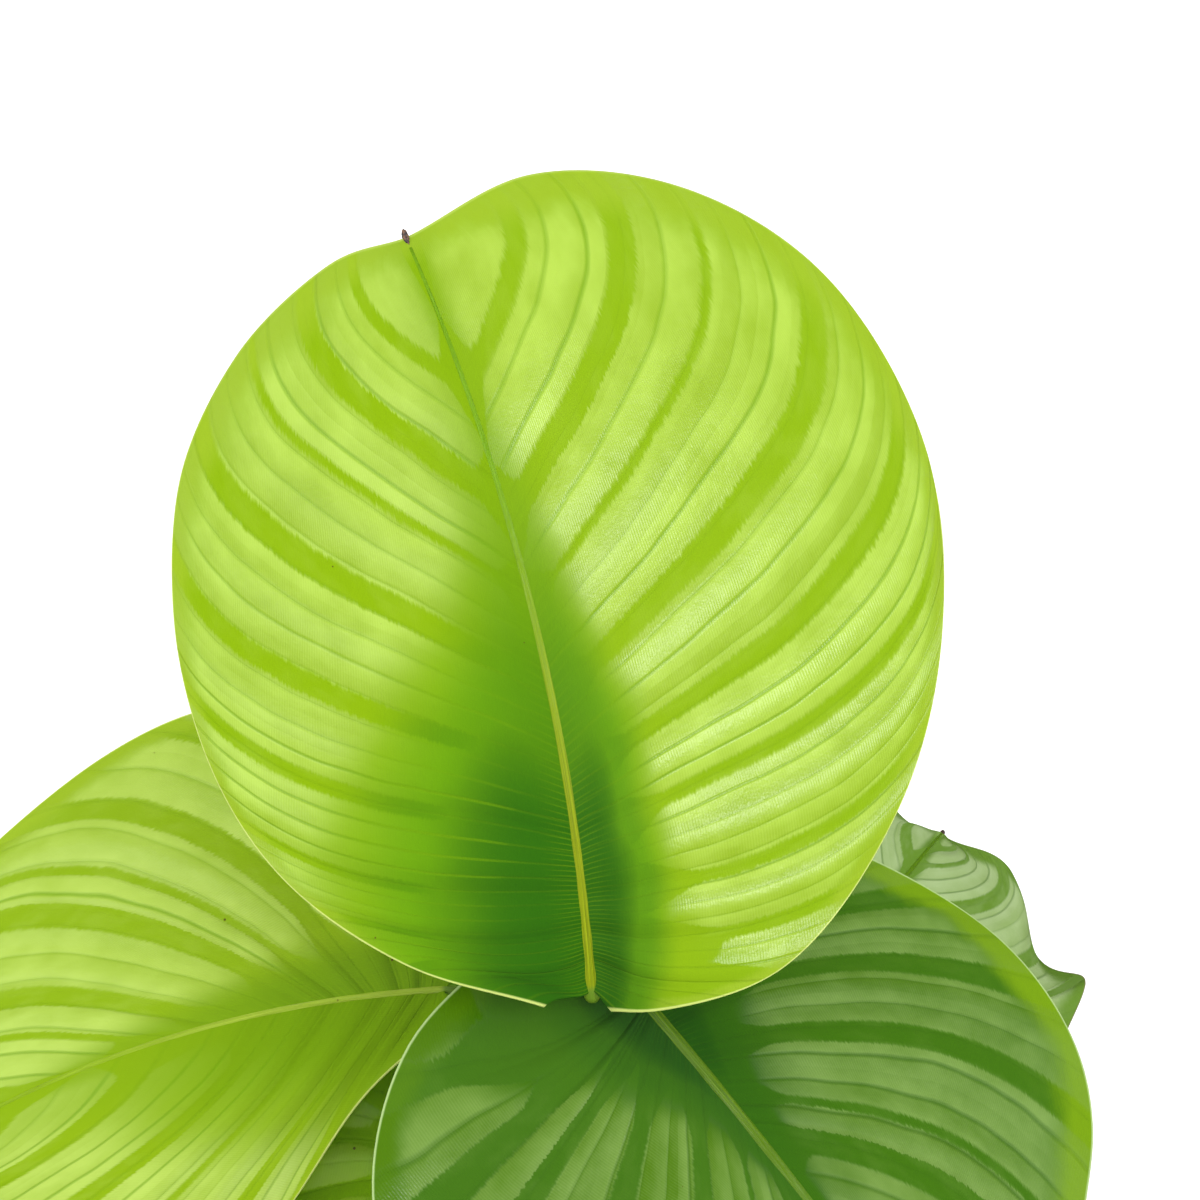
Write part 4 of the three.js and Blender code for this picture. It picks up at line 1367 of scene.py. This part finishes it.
@dataclass
class Soil:
    """Potting soil that fills the pot, with bark and perlite grains lying on it."""

    pot: Pot
    level: float = 150 * MM
    mound: float = 5 * MM
    lump: float = 1.6 * MM
    pitch_x: float = 30 * MM
    pitch_y: float = 37 * MM
    swell_pitch: float = 90 * MM
    crumb: float = 1.1 * MM
    crumb_scale: float = 160.0
    gap: float = 0.6 * MM
    seat: float = 0.3 * MM
    lump_phase: float = 0.2
    calm_edge: float = 4.0
    bare_edge: float = 4 * MM
    grain_rise: float = 0.35
    grain_bump: float = 0.35
    grain_lumps: float = 1.4
    rings: int = 44
    sides: int = 144
    seed: int = 11

    def lift(self, x: float, y: float) -> float:
        """The height of the soil's surface.

        Args:
            x: Metres to the right.
            y: Metres to the back.

        Returns:
            Its height above the pot's base in metres.
        """
        edge = self.level - self.mound
        out = min(math.hypot(x, y) / self.pot.inner(edge), 1.0)
        turn = 2 * math.pi
        lumps = math.sin(turn * (x / self.pitch_x + self.lump_phase)) * math.cos(turn * y / self.pitch_y)
        swell = math.cos(turn * x / self.swell_pitch) * min(1.0, self.calm_edge * (1 - out))
        return edge + self.mound * (1 - out * out) + self.lump * lumps * swell

    def build(self, material: bpy.types.Material) -> bpy.types.Object:
        """Builds the body of soil with its crumbly surface.

        Args:
            material: The soil's material.

        Returns:
            The soil.
        """
        bottom = self.pot.floor + self.seat
        edge = self.level - self.mound
        rim = self.pot.inner(edge) - self.gap
        profile = [(0.0, bottom), (self.pot.inner(bottom) - self.gap, bottom), (rim, edge - 2 * MM)]
        profile += [(rim * (1 - k / self.rings), edge) for k in range(self.rings + 1)]
        mesh = lathe(profile, self.sides)
        for vertex in mesh.verts:
            if vertex.co.z > edge - MM:
                x, y = vertex.co.x, vertex.co.y
                rough = noise.fractal(Vector((x, y, 0.0)) * self.crumb_scale, 1.0, 2.0, 5)
                vertex.co.z = self.lift(x, y) + self.crumb * rough
        return piece("soil_body", mesh, [material], ["soil"])

    def grains(self, name: str, count: int, sizes: tuple[float, float], flat: float, subdivisions: int,
               material: bpy.types.Material) -> bpy.types.Object:
        """Scatters loose grains over the soil.

        Args:
            name: The piece's name.
            count: How many grains.
            sizes: The smallest and the largest radius.
            flat: How flat a grain lies.
            subdivisions: How fine each grain is.
            material: The grains' material.

        Returns:
            The grains as one piece.
        """
        luck = np.random.default_rng(self.seed + count)
        mesh = bmesh.new()
        reach = self.pot.inner(self.level) - self.bare_edge
        for _ in range(count):
            radius = luck.uniform(*sizes)
            out, turn = reach * math.sqrt(luck.random()), luck.uniform(0, 2 * math.pi)
            x, y = out * math.cos(turn), out * math.sin(turn)
            made = bmesh.ops.create_icosphere(mesh, subdivisions=subdivisions, radius=radius)["verts"]
            spin = Matrix.Rotation(luck.uniform(0, 2 * math.pi), 3, "Z") @ Matrix.Rotation(
                luck.uniform(-0.5, 0.5), 3, "X")
            centre = Vector((x, y, self.lift(x, y) + self.grain_rise * radius * flat))
            stretch = Vector((luck.uniform(0.8, 1.5), luck.uniform(0.6, 1.0), flat))
            shift = Vector(luck.uniform(0, 9, 3))
            for vertex in made:
                lumps = noise.noise(vertex.co * (self.grain_lumps / radius) + shift)
                bump = 1 + self.grain_bump * lumps
                vertex.co = centre + spin @ Vector(c * s * bump for c, s in zip(vertex.co, stretch))
        if subdivisions > 1:
            smooth(mesh)
        return piece(name, mesh, [material])


class Glow(Enum):
    """What a lamp gives: soft light all over, or only its mirror image on what shines."""

    SOFT = "soft"
    MIRRORED = "mirrored"


@dataclass(frozen=True)
class Lamp:
    """A round lamp of the studio, with its size in metres and its power in watts."""

    name: str
    place: tuple[float, float, float]
    size: float
    power: float
    glow: Glow


@dataclass
class Studio:
    """Pale floor, soft lights and the camera, looking down on the plant from the front."""

    eye: tuple[float, float, float] = (0.0, -0.29577, 0.86919)
    tilt: float = 45.0
    lens: float = 58.8
    sensor: float = 36.0
    floor_size: float = 6.0
    aim: tuple[float, float, float] = (0.0, 0.05, 0.4)
    sky: float = 1.5
    lamps: tuple[Lamp, ...] = (
        Lamp("key", (0.9, -0.5, 1.5), 0.9, 6.0, Glow.SOFT),
        Lamp("fill", (-1.2, 0.4, 1.4), 1.2, 4.0, Glow.SOFT),
        Lamp("window", (0.0, -0.84, 1.61), 0.3, 48.0, Glow.MIRRORED),
        Lamp("window_left", (-1.5, -0.1, 1.35), 0.4, 12.0, Glow.MIRRORED),
        Lamp("window_right", (1.6, -0.1, 1.1), 0.4, 14.0, Glow.MIRRORED),
    )

    def build(self) -> None:
        """Sets the stage."""
        self.floor()
        self.lights()
        self.camera()

    def floor(self) -> None:
        """Lays the pale floor."""
        mesh = bmesh.new()
        bmesh.ops.create_grid(mesh, x_segments=8, y_segments=8, size=self.floor_size / 2)
        data = bpy.data.meshes.new("floor")
        mesh.to_mesh(data)
        mesh.free()
        c = Canvas("floor_paper")
        grain = c.noise(3.0, 3.0)
        data.materials.append(c.finish(c.blend(grain, srgb(250, 250, 250), srgb(254, 254, 254)), 0.8))
        made = bpy.data.objects.new("floor", data)
        made.visible_glossy = False
        bpy.context.scene.collection.objects.link(made)

    def lights(self) -> None:
        """Hangs the soft lamps and lights the sky."""
        world = bpy.data.worlds.new("studio")
        world.use_nodes = True
        sky = world.node_tree.nodes["Background"]
        sky.inputs["Color"].default_value = (1.0, 1.0, 1.0, 1.0)
        sky.inputs["Strength"].default_value = self.sky
        # The bare sky and floor would lie as a white veil on the leaves; only the lamps are mirrored.
        world.cycles_visibility.glossy = False
        bpy.context.scene.world = world
        for lamp in self.lamps:
            light = bpy.data.lights.new(lamp.name, "AREA")
            light.shape = "DISK"
            light.size = lamp.size
            light.energy = lamp.power
            made = bpy.data.objects.new(lamp.name, light)
            made.location = lamp.place
            made.rotation_euler = (Vector(self.aim) - Vector(lamp.place)).to_track_quat("-Z", "Y").to_euler()
            made.visible_diffuse = lamp.glow is Glow.SOFT
            made.visible_glossy = lamp.glow is Glow.MIRRORED
            bpy.context.scene.collection.objects.link(made)

    def camera(self) -> None:
        """Places the camera."""
        camera = bpy.data.cameras.new("camera")
        camera.lens = self.lens
        camera.sensor_width = self.sensor
        made = bpy.data.objects.new("camera", camera)
        made.location = self.eye
        made.rotation_euler = (math.radians(self.tilt), 0.0, 0.0)
        bpy.context.scene.collection.objects.link(made)
        bpy.context.scene.camera = made
        bpy.context.scene.view_settings.view_transform = "Standard"


def main() -> None:
    """Builds the plant and the stage; each piece logs its number of faces."""
    logging.basicConfig(level=logging.INFO, format="%(name)s: %(message)s")
    Studio().build()
    pot = Pot()
    pot.build(PotFinish().material(pot))
    soil = Soil(pot)
    soil.build(SOIL.material())
    soil.grains("soil_bark", count=420, sizes=(1.2 * MM, 3.4 * MM), flat=0.5, subdivisions=1,
                material=BARK.material())
    soil.grains("soil_perlite", count=150, sizes=(0.8 * MM, 2.0 * MM), flat=0.8, subdivisions=2,
                material=PERLITE.material())
    dried = DriedFinish().material()
    stalks = {finish.name: finish.material() for finish in (OLIVE_STALK, PALE_STALK, GREEN_STALK)}
    faces: dict[str, list[bpy.types.Material]] = {}
    for form in LEAVES:
        finish = form.finish
        if finish.name not in faces:
            faces[finish.name] = [finish.material(), finish.underside().material()]
        Leaf(form, soil.level).build(faces[finish.name], stalks[form.stalk.name], dried)


if __name__ == "__main__":
    main()
